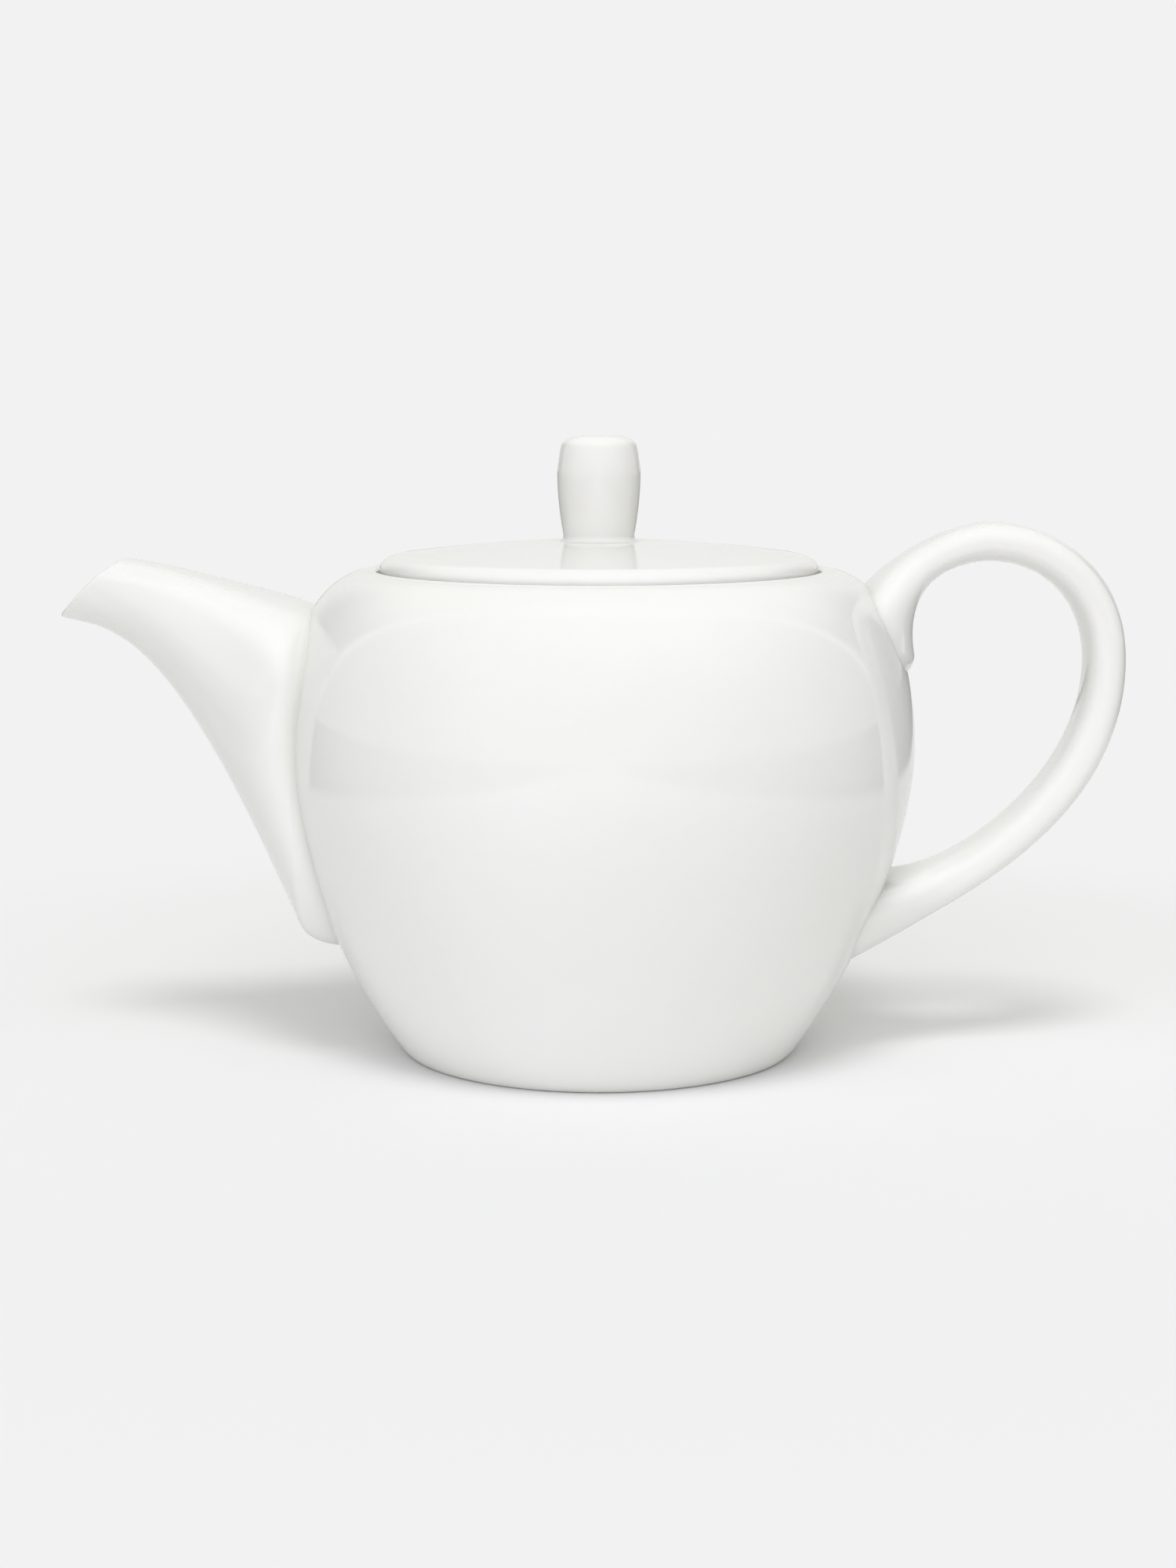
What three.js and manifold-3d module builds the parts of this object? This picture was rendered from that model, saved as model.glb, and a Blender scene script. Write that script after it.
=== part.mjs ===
// A white bone china teapot: a round pot with a recessed lid seat, a wide funnel spout, an oval loop
// handle, and a flat domed lid with a barrel knob. Millimetres and degrees, +Z up. The origin is the
// centre of the foot, the spout points along -X and the handle along +X.
//
// Its outlines are drawn in smooth stretches. At the end of a stretch, a slope is the direction that the
// outline has there, and a pull is how far it is drawn out along that slope.
import * as THREE from 'three';
import { ParametricGeometry } from 'three/addons/geometries/ParametricGeometry.js';
import { mergeVertices } from 'three/addons/utils/BufferGeometryUtils.js';
import Module from 'manifold-3d';

const wasm = await Module();
wasm.setup();

// Pot: the outside is a flare that leaves the foot nearly straight, and a low shoulder up to the rim
const footRadius = 44.8;
const flareSlope = 54.2;
const flarePull = 32.5;
const bellyRadius = 71.4;
const bellyHeight = 69;
const bellyPull = 14;
const shoulderPull = 16;
const shoulderSlope = 7;
const rimRadius = 51.8;
const rimHeight = 109.5;
const wall = 3.2;
const floorThickness = 3.6;
const floorCorner = 9;

// Foot: a low ring, ground flat, around a shallow hollow
const footRingWidth = 2.6;
const footHollow = 2.2;
const footEdge = 1;
const footEdgeRun = 1.3;

// Seat for the lid: a shallow step inside a thin lip, and the mouth below it
const lipThickness = 1.9;
const seatDepth = 1.9;
const seatWidth = 5;
const seatThickness = 3.4;

// The inside of the wall runs from under the seat to the floor, at these shares of the shoulder and flare
const underSeatShare = 0.8;
const floorShare = 0.3;

// Strainer: rows of holes pierced through the wall behind the spout
const holeDiameter = 3.8;
const holePitch = 8.5;
const holeRows = [3, 4, 3, 4, 3];

// Lid: a flat dome with a rounded edge and a plain flange that drops into the mouth
const lidClearance = 0.75;
const lidEdgeHeight = 5;
const lidDome = 3.1;
const lidThickness = 3.4;
const lidEdgeRound = 3.6;
const flangeClearance = 0.8;
const flangeThickness = 2.6;
const flangeDepth = 7;
const ventDiameter = 3;
const ventDistance = 19;

// Knob: a barrel on a small spread root
const knobHeight = 23.5;
const knobBellyHeight = 14.6;
const knobRadius = 9.3;
const knobWaistRadius = 8;
const knobWaistSlope = 80;
const knobWaistPull = 4.7;
const knobBellyPullBelow = 4;
const knobBellyPullAbove = 2.4;
const knobRootRadius = 9.2;
const knobRootHeight = 1.5;
const knobTopRadius = 8.5;
const knobTopEdge = 2.2;
const knobTopSlope = 103;
const knobTopPull = 1.9;

// Spout: the mouth, whose rim bows forward at its sides
const spoutTipReach = 121.5;
const spoutTipHeight = 98.85;
const mouthLength = 19.5;
const mouthAngle = 42;
const mouthBow = 0.7;

// Spout: the rail along its top, down to the root
const spoutRootDrop = 8.7;
const mouthTopSlope = -6.2;
const mouthTopPull = 10.5;
const rootTopSlope = -20;
const rootTopPull = 10;

// Spout: the rail along its underside, down to the toe and round it into the pot
const mouthUnderSlope = -18;
const mouthUnderPull = 10.6;
const toeHeight = 23.4;
const toeStand = 5.8;
const toeRise = 5.4;
const toeSlope = -67;
const toePullAbove = 79;
const toePullBelow = 4.8;

// Spout: its widths, the height of its crown as a share of the section, and its thin wall
const mouthWidth = 19;
const throatWidth = 21;
const spoutMiddleWidth = 27;
const spoutRootWidth = 49;
const spoutCrown = 0.3;
const spoutWall = 2.8;
const spoutLipWall = 1.7;
const spoutSquareness = 2.7;

// Handle: the highest and the furthest point of its loop
const handleReach = 118.6;
const handleSideHeight = 88.2;
const handleTop = 120;
const handleTopReach = 87.5;
const handleThickness = 9.05;
const handleTopThickness = 8.6;
const handleWidth = 16;
const handleRootWidth = 20;
const handleSquareness = 2.2;

// Handle: the outer rail, from the upper root over the top and the side to the lower root
const upperRootDrop = 8.7;
const upperRootInset = 6.4;
const upperRootSlope = 71.6;
const upperRootPull = 10.6;
const outerTopPullBefore = 9.2;
const outerTopPullAfter = 13.1;
const outerSidePullBefore = 23.3;
const outerSidePullAfter = 34.2;
const lowerRootBottom = 21.6;
const lowerOuterSlope = 26.2;
const lowerOuterPull = 32.4;

// Handle: the inner rail, which starts at the heel under the upper root
const heelHeight = 85;
const heelShoulder = 6;
const heelStand = 2.4;
const heelSlope = 100;
const heelPull = 18.9;
const innerTopPullBefore = 3.7;
const innerTopPullAfter = 10.2;
const innerSidePullBefore = 16;
const innerSidePullAfter = 23.5;
const lowerRootTop = 39.3;
const lowerInnerSlope = 11.5;
const lowerInnerPull = 21.2;

// Roots: how far the skins spread along the pot, from which height above it, and how suddenly
const spoutSpread = 7.4;
const spoutSpreadHeight = 9;
const spoutSpreadPower = 2.8;
const upperSpread = 11;
const lowerSpread = 12.5;
const handleSpreadHeight = 16;
const handleSpreadPower = 2.2;
const spreadSidePower = 0.6;

// The rails run on into the pot by this depth, and the joint of slip left at the pot's skin is this thick
const buryDepth = 9.6;
const slipJoint = 0.3;

// The glaze over the white body
const glazeColour = [0.93, 0.93, 0.915];
const glazeRoughness = 0.12;

// How finely the surfaces are divided
const turnSteps = 48;
const knobSteps = 28;
const drillSides = 10;
const outsideSteps = 160;
const halvings = 22;
const spoutAround = 48;
const spoutOuterSteps = 20;
const spoutInnerSteps = 10;
const spoutBackSteps = 2;
const spoutRowCrowding = 1.6;
const handleAround = 20;
const handleSteps = 42;
const handleCapSteps = 3;
const handleRowCrowding = 0.6;
const sideCrowding = 0.12;

const seatHeight = rimHeight - seatDepth;
const lipInnerRadius = rimRadius - lipThickness;
const mouthRadius = lipInnerRadius - seatWidth;
const spoutRootTop = rimHeight - spoutRootDrop;
const upperRootTop = rimHeight - upperRootDrop;

const radians = THREE.MathUtils.degToRad;
const lerp = THREE.MathUtils.lerp;

// The unit vector at an angle
function heading(angle) {
  return new THREE.Vector2(Math.cos(radians(angle)), Math.sin(radians(angle)));
}

// A smooth stretch between two places, with its slope and pull at each of them
function stretch(start, startSlope, pullAfter, end, endSlope, pullBefore) {
  return new THREE.CubicBezierCurve(
    start,
    start.clone().addScaledVector(heading(startSlope), pullAfter),
    end.clone().addScaledVector(heading(endSlope), -pullBefore),
    end,
  );
}

// A corner between two places, rounded by a quadratic curve
function rounded(start, corner, end) {
  return new THREE.QuadraticBezierCurve(start, corner, end);
}

function at(radius, height) {
  return new THREE.Vector2(radius, height);
}

// Points at equal parameters along a flat curve, without its first point
function along(curve, steps) {
  return curve.getPoints(steps).slice(1);
}

// The outside of the pot in the half plane of radius and height
const belly = at(bellyRadius, bellyHeight);
const flare = stretch(at(footRadius, 0), flareSlope, flarePull, belly, 90, bellyPull);
const shoulder = stretch(belly, 90, bellyPull, at(rimRadius, rimHeight), 180 - shoulderSlope, shoulderPull);
const outside = [...flare.getPoints(outsideSteps), ...along(shoulder, outsideSteps)];

// The pot's outer radius at a height
function potRadius(height) {
  const above = outside.findIndex((point) => point.y >= height);
  const [low, high] = [outside[above - 1], outside[above]];
  return THREE.MathUtils.mapLinear(height, low.y, high.y, low.x, high.x);
}

// The nearest point of the pot's outside to a point in space: its distance, positive outside the pot,
// and the outward direction
function nearestOnPot(point) {
  const radius = Math.hypot(point.x, point.y);
  const here = at(radius, point.z);
  let best = { distance: Infinity };
  for (let i = 1; i < outside.length; i += 1) {
    const from = outside[i - 1];
    const side = outside[i].clone().sub(from);
    const share = THREE.MathUtils.clamp(here.clone().sub(from).dot(side) / side.lengthSq(), 0, 1);
    const foot = from.clone().addScaledVector(side, share);
    const distance = foot.distanceTo(here);
    if (distance < best.distance) {
      const normal = at(side.y, -side.x).normalize();
      best = { distance, foot, normal, outer: here.clone().sub(foot).dot(normal) >= 0 };
    }
  }
  const turn = new THREE.Vector2(point.x, point.y).divideScalar(radius);
  return {
    distance: best.outer ? best.distance : -best.distance,
    foot: new THREE.Vector3(turn.x * best.foot.x, turn.y * best.foot.x, best.foot.y),
    normal: new THREE.Vector3(turn.x * best.normal.x, turn.y * best.normal.x, best.normal.y),
  };
}

// The same point moved square to the pot's outside until it stands at the given distance from it
function standOff(point, distance) {
  const near = nearestOnPot(point);
  return near.foot.addScaledVector(near.normal, distance);
}

// Slides a point sideways along the pot, the more the closer it lies to it. The side runs from -1 to 1
// around a section, and the slide is least where the section's top and bottom are.
function spread(point, side, amount, height, power) {
  const near = nearestOnPot(point);
  const close = 1 - Math.max(near.distance, 0) / height;
  if (close <= 0 || side === 0) return point;
  const sideways = new THREE.Vector3(0, Math.sign(side), 0);
  const tangent = sideways.addScaledVector(near.normal, -sideways.dot(near.normal)).normalize();
  const slide = amount * Math.abs(side) ** spreadSidePower * close ** power;
  return standOff(near.foot.addScaledVector(tangent, slide), near.distance);
}

// The parameter at which a line, which runs from free air at one end into the pot at the other, comes
// to the joint of slip
function meetingParameter(line, free, buried) {
  let outer = free;
  let inner = buried;
  for (let i = 0; i < halvings; i += 1) {
    const middle = (outer + inner) / 2;
    if (nearestOnPot(line(middle)).distance > slipJoint) outer = middle;
    else inner = middle;
  }
  return (outer + inner) / 2;
}

// A point on a unit outline between a circle (squareness 2) and a square, with closer points at the sides
function roundedTurn(u, squareness) {
  const turn = 2 * Math.PI * u - sideCrowding * Math.sin(4 * Math.PI * u);
  const direction = new THREE.Vector2(Math.cos(turn), Math.sin(turn));
  const sum = Math.abs(direction.x) ** squareness + Math.abs(direction.y) ** squareness;
  return direction.divideScalar(sum ** (1 / squareness));
}

// A closed solid as a mesh geometry with shared vertices and no flat triangles
function closedGeometry(source) {
  const bare = new THREE.BufferGeometry();
  bare.setAttribute('position', source.getAttribute('position'));
  bare.setIndex(source.index);
  const merged = mergeVertices(bare);
  const corners = merged.index.array;
  const kept = [];
  for (let i = 0; i < corners.length; i += 3) {
    const [a, b, c] = [corners[i], corners[i + 1], corners[i + 2]];
    if (a !== b && b !== c && c !== a) kept.push(a, b, c);
  }
  merged.setIndex(kept);
  return merged;
}

function solidOf(geometry) {
  const closed = closedGeometry(geometry);
  return new wasm.Manifold(new wasm.Mesh({
    numProp: 3,
    vertProperties: closed.attributes.position.array,
    triVerts: new Uint32Array(closed.index.array),
  }));
}

function geometryOf(solid) {
  const mesh = solid.getMesh();
  const geometry = new THREE.BufferGeometry();
  geometry.setAttribute('position', new THREE.BufferAttribute(mesh.vertProperties, 3));
  geometry.setIndex(new THREE.BufferAttribute(mesh.triVerts, 1));
  return geometry;
}

// A half section turned round the upright axis
function turned(profile, steps) {
  return new THREE.LatheGeometry(profile, steps).rotateX(Math.PI / 2);
}

// A surface of two parameters that closes on itself
function wrapped(pointAt, around, lengthwise) {
  const place = (u, v, target) => target.copy(pointAt(u % 1, v));
  return closedGeometry(new ParametricGeometry(place, around, lengthwise));
}

// Keeps what a costly function of one number gave for each number
function remembered(work) {
  const results = new Map();
  return (number) => {
    if (!results.has(number)) results.set(number, work(number));
    return results.get(number);
  };
}

// A glazed piece under its name
function glazed(name, geometry) {
  const shown = geometry.toNonIndexed();
  shown.computeVertexNormals();
  const glaze = new THREE.MeshStandardMaterial({ roughness: glazeRoughness, metalness: 0 });
  glaze.color.setRGB(...glazeColour, THREE.SRGBColorSpace);
  const mesh = new THREE.Mesh(shown, glaze);
  mesh.name = name;
  return mesh;
}

// Pot body

// The inside of a part of the outside, one wall thickness in, from its upper end down
function insideOf(curve, low, high, steps) {
  return Array.from({ length: steps + 1 }, (_, i) => {
    const share = lerp(high, low, i / steps);
    const tangent = curve.getTangent(share);
    return curve.getPoint(share).add(at(-tangent.y, tangent.x).multiplyScalar(wall));
  });
}

function potProfile() {
  const ringOuter = footRadius - footEdge;
  const ringInner = ringOuter - footRingWidth;
  const hollowEdge = ringInner - 2 * footEdge;
  const edgeEnd = flare.getPoint(footEdgeRun / (3 * flarePull));
  const hollowSide = rounded(
    at(hollowEdge, footHollow), at(ringInner - footEdge, footHollow), at(ringInner, 0),
  );
  const edge = rounded(at(ringOuter, 0), at(footRadius, 0), edgeEnd);
  const lip = rounded(
    at(rimRadius, rimHeight), at(lipInnerRadius, rimHeight), at(lipInnerRadius, rimHeight - lipThickness / 2),
  );
  const flareInside = insideOf(flare, floorShare, 1, 6);
  const wallFoot = flareInside.at(-1);
  const floorHeight = footHollow + floorThickness;
  const floorEdge = rounded(
    wallFoot, at(wallFoot.x - floorCorner / 2, floorHeight), at(wallFoot.x - 1.5 * floorCorner, floorHeight),
  );
  return [
    at(0, footHollow),
    at(hollowEdge, footHollow),
    ...along(hollowSide, 2),
    at(ringOuter, 0),
    ...along(edge, 2),
    ...flare.getPoints(10).filter((point) => point.y > edgeEnd.y + footEdge),
    ...along(shoulder, 11),
    ...along(lip, 3),
    at(lipInnerRadius, seatHeight),
    at(mouthRadius, seatHeight),
    at(mouthRadius, seatHeight - seatThickness),
    ...insideOf(shoulder, 0, underSeatShare, 6),
    ...flareInside.slice(1),
    ...along(floorEdge, 3),
    at(0, floorHeight),
  ];
}

// The strainer's drills: rods along X in staggered rows, centred on the root of the spout
function strainerDrills() {
  const middle = (spoutRootTop + toeHeight) / 2;
  const rowStep = holePitch * Math.sin(radians(60));
  return holeRows.flatMap((count, row) => Array.from({ length: count }, (_, i) => {
    const drill = new THREE.CylinderGeometry(holeDiameter / 2, holeDiameter / 2, bellyRadius, drillSides);
    const height = middle + (row - (holeRows.length - 1) / 2) * rowStep;
    return drill.rotateZ(Math.PI / 2).translate(-bellyRadius, (i - (count - 1) / 2) * holePitch, height);
  }));
}

function potBody() {
  let solid = solidOf(turned(potProfile(), turnSteps));
  for (const drill of strainerDrills()) solid = solid.subtract(solidOf(drill));
  return geometryOf(solid);
}

// Spout

// Along the rails, 0 is the mouth, the toe lies at this share, and 1 is well inside the pot. The first
// part of them is free of the pot, and near the mouth they run this many millimetres for each unit.
const toeShare = 0.86;
const spoutFreeShare = 0.35;
const mouthRun = 40;

const spoutTip = at(-spoutTipReach, spoutTipHeight);
const mouthTop = spoutTip.clone().addScaledVector(heading(mouthAngle), mouthLength);
const spoutTopEnd = at(-potRadius(spoutRootTop), spoutRootTop);
const toe = at(-potRadius(toeHeight + toeStand) - toeStand, toeHeight + toeRise);
const toeEnd = at(-potRadius(toeHeight) + buryDepth, toeHeight);
const spoutTopRail = stretch(mouthTop, mouthTopSlope, mouthTopPull, spoutTopEnd, rootTopSlope, rootTopPull);
const spoutUnderRail = stretch(spoutTip, mouthUnderSlope, mouthUnderPull, toe, toeSlope, toePullAbove);
const spoutToeRail = stretch(toe, toeSlope, toePullBelow, toeEnd, 0, buryDepth);

function spoutRails(v) {
  if (v <= toeShare) {
    return { top: spoutTopRail.getPoint(v / toeShare), under: spoutUnderRail.getPoint(v / toeShare) };
  }
  const deeper = (v - toeShare) / (1 - toeShare);
  return {
    top: spoutTopEnd.clone().addScaledVector(heading(rootTopSlope), deeper * 2 * buryDepth),
    under: spoutToeRail.getPoint(deeper),
  };
}

// The spout's half width at a share of the way from the mouth to the toe, drawn towards the throat's and
// the middle's as a cubic curve is towards its control points
function spoutHalfWidth(share) {
  const rest = 1 - share;
  const width = rest ** 3 * mouthWidth + 3 * rest ** 2 * share * throatWidth
    + 3 * rest * share ** 2 * spoutMiddleWidth + share ** 3 * spoutRootWidth;
  return width / 2;
}

// A point of the spout's section: an egg with a low crown on top and a long taper below. Depth is the
// distance in from the outer skin.
function spoutPoint(u, v, depth) {
  const { top, under } = spoutRails(v);
  const rise = top.clone().sub(under);
  const height = rise.length();
  const up = rise.divideScalar(height);
  const share = THREE.MathUtils.clamp(v / toeShare, 0, 1);
  const outline = roundedTurn(u, lerp(2, spoutSquareness, share));
  const crown = spoutCrown * height;
  const reach = outline.y > 0 ? crown - depth : height - crown - depth;
  const middle = under.clone().addScaledVector(up, height - crown + reach * outline.y);
  return new THREE.Vector3(middle.x, (spoutHalfWidth(share) - depth) * outline.x, middle.y);
}

function spoutGeometry() {
  const total = spoutOuterSteps + spoutBackSteps + spoutInnerSteps + 1;
  const side = (u) => Math.cos(2 * Math.PI * u);
  const mouthAt = (u) => (-mouthBow * side(u) ** 2) / mouthRun;
  const outerMeeting = remembered((u) => meetingParameter((v) => spoutPoint(u, v, 0), spoutFreeShare, 1));
  const innerMeeting = remembered((u) => (
    meetingParameter((v) => spoutPoint(u, v, spoutWall), spoutFreeShare, 1)
  ));
  const outerAt = (u, share) => {
    const v = lerp(outerMeeting(u), mouthAt(u), (1 - share) ** spoutRowCrowding);
    return spread(spoutPoint(u, v, 0), side(u), spoutSpread, spoutSpreadHeight, spoutSpreadPower);
  };
  const innerAt = (u, share) => {
    const depth = lerp(spoutLipWall, spoutWall, Math.min(4 * share, 1));
    return spoutPoint(u, lerp(mouthAt(u), innerMeeting(u), share), depth);
  };
  const pointAt = (u, v) => {
    const step = Math.round(v * total) % total;
    if (step <= spoutOuterSteps) return outerAt(u, step / spoutOuterSteps);
    const back = step - spoutOuterSteps;
    if (back < spoutBackSteps) {
      return standOff(outerAt(u, 1).lerp(innerAt(u, 1), back / spoutBackSteps), slipJoint);
    }
    return innerAt(u, 1 - (back - spoutBackSteps) / spoutInnerSteps);
  };
  return wrapped(pointAt, spoutAround, total);
}

// Handle

const outerStart = at(potRadius(upperRootTop) - upperRootInset, upperRootTop);
const outerTop = at(handleTopReach, handleTop);
const outerSide = at(handleReach, handleSideHeight);
const outerEnd = at(potRadius(lowerRootBottom), lowerRootBottom);
const heelStart = at(potRadius(heelHeight) - buryDepth, heelHeight);
const heel = at(potRadius(heelHeight + heelShoulder) + heelStand, heelHeight + heelShoulder);
const innerTop = at(handleTopReach, handleTop - handleTopThickness);
const innerSide = at(handleReach - handleThickness, handleSideHeight);
const innerEnd = at(potRadius(lowerRootTop), lowerRootTop);

// A rail's straight run from its end on into the pot
function intoPot(end, slope) {
  return new THREE.LineCurve(end, end.clone().addScaledVector(heading(slope), buryDepth));
}

// Each rail has five stretches: out of the pot, up to the top, round to the side, back to the pot, and
// into it
const outerRail = [
  new THREE.LineCurve(outerStart.clone().addScaledVector(heading(upperRootSlope), -buryDepth), outerStart),
  stretch(outerStart, upperRootSlope, upperRootPull, outerTop, 0, outerTopPullBefore),
  stretch(outerTop, 0, outerTopPullAfter, outerSide, -90, outerSidePullBefore),
  stretch(outerSide, -90, outerSidePullAfter, outerEnd, 180 + lowerOuterSlope, lowerOuterPull),
  intoPot(outerEnd, 180 + lowerOuterSlope),
];
const innerRail = [
  stretch(heelStart, 0, buryDepth, heel, heelSlope, heelStand),
  stretch(heel, heelSlope, heelPull, innerTop, 0, innerTopPullBefore),
  stretch(innerTop, 0, innerTopPullAfter, innerSide, -90, innerSidePullBefore),
  stretch(innerSide, -90, innerSidePullAfter, innerEnd, 180 + lowerInnerSlope, lowerInnerPull),
  intoPot(innerEnd, 180 + lowerInnerSlope),
];

// Along the handle, 0 is its upper end inside the pot and 1 its lower one: where each stretch starts, the
// last swelling of the upper root, the first of the lower one, and the free middle part
const railStarts = [0, 0.06, 0.3, 0.52, 0.94, 1];
const upperSwellEnd = 0.3;
const lowerSwellStart = 0.55;
const freeFrom = 0.25;
const freeTo = 0.7;

function handleHalfWidth(v) {
  const upper = 1 - THREE.MathUtils.smoothstep(v, 0, upperSwellEnd);
  const lower = THREE.MathUtils.smoothstep(v, lowerSwellStart, 1);
  return lerp(handleWidth, handleRootWidth, upper + lower) / 2;
}

function handlePoint(u, v) {
  const piece = Math.min(railStarts.findLastIndex((start) => v >= start), outerRail.length - 1);
  const share = THREE.MathUtils.mapLinear(v, railStarts[piece], railStarts[piece + 1], 0, 1);
  const outer = outerRail[piece].getPoint(share);
  const inner = innerRail[piece].getPoint(share);
  const outline = roundedTurn(u, handleSquareness);
  const middle = inner.lerp(outer, (1 + outline.y) / 2);
  return new THREE.Vector3(middle.x, handleHalfWidth(v) * outline.x, middle.y);
}

function handleGeometry() {
  const total = handleSteps + 2 * handleCapSteps;
  const endsOf = remembered((u) => {
    const line = (v) => handlePoint(u, v);
    return [meetingParameter(line, freeFrom, 0), meetingParameter(line, freeTo, 1)];
  });
  const skinAt = (u, share) => {
    const eased = share - (handleRowCrowding * Math.sin(2 * Math.PI * share)) / (2 * Math.PI);
    const point = handlePoint(u, lerp(...endsOf(u), eased));
    const amount = lerp(upperSpread, lowerSpread, share);
    return spread(point, Math.cos(2 * Math.PI * u), amount, handleSpreadHeight, handleSpreadPower);
  };
  const centreOf = (end) => {
    const sum = new THREE.Vector3();
    for (let i = 0; i < handleAround; i += 1) sum.add(skinAt(i / handleAround, end));
    return sum.divideScalar(handleAround);
  };
  const centres = [centreOf(0), centreOf(1)];
  const capAt = (u, end, share) => standOff(centres[end].clone().lerp(skinAt(u, end), share), slipJoint);
  const pointAt = (u, v) => {
    const step = Math.round(v * total);
    if (step < handleCapSteps) return capAt(u, 0, step / handleCapSteps);
    if (step > total - handleCapSteps) return capAt(u, 1, (total - step) / handleCapSteps);
    return skinAt(u, (step - handleCapSteps) / handleSteps);
  };
  return wrapped(pointAt, handleAround, total);
}

// Lid and knob

const lidRadius = lipInnerRadius - lidClearance;
const lidEdgeTop = seatHeight + lidEdgeHeight;
const lidTop = lidEdgeTop + lidDome;

function lidProfile() {
  const edgeRadius = lidRadius - lidEdgeRound;
  const flangeOuter = mouthRadius - flangeClearance;
  const flangeInner = flangeOuter - flangeThickness;
  const flangeFoot = seatHeight - flangeDepth;
  const flangeRound = flangeThickness / 2;
  const ceiling = lidTop - lidThickness;
  const widest = at(lidRadius, seatHeight + lidEdgeHeight / 2);
  const underEdge = at(lidRadius - lidEdgeHeight / 2, seatHeight);
  const ceilingCurve = rounded(
    at(0, ceiling), at(flangeInner / 2, ceiling), at(flangeInner, lidEdgeTop - lidThickness),
  );
  const flangeEnd = rounded(
    at(flangeInner, flangeFoot + flangeRound),
    at(flangeInner + flangeRound, flangeFoot - flangeRound),
    at(flangeOuter, flangeFoot + flangeRound),
  );
  const edgeUnder = rounded(underEdge, at(lidRadius, seatHeight), widest);
  const domeSlope = THREE.MathUtils.radToDeg(Math.atan2(2 * lidDome, edgeRadius));
  const edgeOver = stretch(
    widest, 90, lidEdgeHeight / 4, at(edgeRadius, lidEdgeTop), 180 - domeSlope, lidEdgeRound / 2,
  );
  const dome = rounded(at(edgeRadius, lidEdgeTop), at(edgeRadius / 2, lidTop), at(knobRootRadius, lidTop));
  return [
    at(0, ceiling),
    ...along(ceilingCurve, 4),
    at(flangeInner, flangeFoot + flangeRound),
    ...along(flangeEnd, 3),
    at(flangeOuter, seatHeight),
    underEdge,
    ...along(edgeUnder, 3),
    ...along(edgeOver, 4),
    ...along(dome, 6),
    at(0, lidTop),
  ];
}

function lidGeometry() {
  const length = 2 * (lidThickness + lidDome);
  const drill = new THREE.CylinderGeometry(ventDiameter / 2, ventDiameter / 2, length, drillSides);
  drill.rotateX(Math.PI / 2).translate(0, ventDistance, lidTop);
  return geometryOf(solidOf(turned(lidProfile(), turnSteps)).subtract(solidOf(drill)));
}

function knobProfile() {
  const top = lidTop + knobHeight;
  const waist = at(knobWaistRadius, lidTop + knobRootHeight);
  const widest = at(knobRadius, lidTop + knobBellyHeight);
  const edge = at(knobTopRadius, top - knobTopEdge);
  const root = rounded(at(knobRootRadius, lidTop), at(knobWaistRadius, lidTop), waist);
  const swell = stretch(waist, knobWaistSlope, knobWaistPull, widest, 90, knobBellyPullBelow);
  const taper = stretch(widest, 90, knobBellyPullAbove, edge, knobTopSlope, knobTopPull);
  const over = rounded(edge, at(knobTopRadius - knobTopEdge / 4, top), at(knobTopRadius - knobTopEdge, top));
  return [
    at(0, lidTop),
    at(knobRootRadius, lidTop),
    ...along(root, 3),
    ...along(swell, 7),
    ...along(taper, 4),
    ...along(over, 4),
    at(0, top),
  ];
}

// The teapot: the fixed pieces, and the lid with its knob, which lift off together

const cover = new THREE.Group();
cover.add(glazed('lid', lidGeometry()));
cover.add(glazed('knob', closedGeometry(turned(knobProfile(), knobSteps))));

const teapot = new THREE.Group();
teapot.add(glazed('pot_body', potBody()));
teapot.add(glazed('spout', spoutGeometry()));
teapot.add(glazed('handle', handleGeometry()));
teapot.add(cover);

export default teapot;
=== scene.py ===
# %% [markdown]
# # A bone china teapot
# The real pot is cast from liquid clay in five pieces: the round body, the spout, the handle, the lid
# and its knob. They are stuck together with slip, fired, dipped in clear glaze and fired again.
# This lesson rebuilds each piece as a surface worked out with numpy, then gives it the glaze, the light
# and the pale studio that make a white pot on a white ground readable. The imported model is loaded
# first, because it fixes where everything stands and how large it is.

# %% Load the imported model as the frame
import math

import bpy
import numpy as np
from mathutils.kdtree import KDTree
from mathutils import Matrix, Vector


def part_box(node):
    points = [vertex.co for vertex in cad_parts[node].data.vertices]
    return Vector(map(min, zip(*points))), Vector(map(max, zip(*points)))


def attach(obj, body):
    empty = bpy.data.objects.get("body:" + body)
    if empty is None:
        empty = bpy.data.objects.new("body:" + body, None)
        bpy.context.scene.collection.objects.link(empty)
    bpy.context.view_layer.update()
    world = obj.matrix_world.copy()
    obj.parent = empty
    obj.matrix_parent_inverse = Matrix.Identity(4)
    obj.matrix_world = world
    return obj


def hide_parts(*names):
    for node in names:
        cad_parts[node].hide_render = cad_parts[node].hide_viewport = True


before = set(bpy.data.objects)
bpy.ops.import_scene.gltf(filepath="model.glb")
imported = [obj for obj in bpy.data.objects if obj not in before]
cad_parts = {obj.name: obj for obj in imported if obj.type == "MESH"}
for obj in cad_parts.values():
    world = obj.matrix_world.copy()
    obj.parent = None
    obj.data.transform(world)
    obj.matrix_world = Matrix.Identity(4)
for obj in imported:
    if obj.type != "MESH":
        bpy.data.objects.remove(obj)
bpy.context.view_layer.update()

mm = 0.001


def placed(name, data):
    """A new object with this mesh, camera or lamp, put into the scene."""
    made = bpy.data.objects.new(name, data)
    bpy.context.scene.collection.objects.link(made)
    return made


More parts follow.
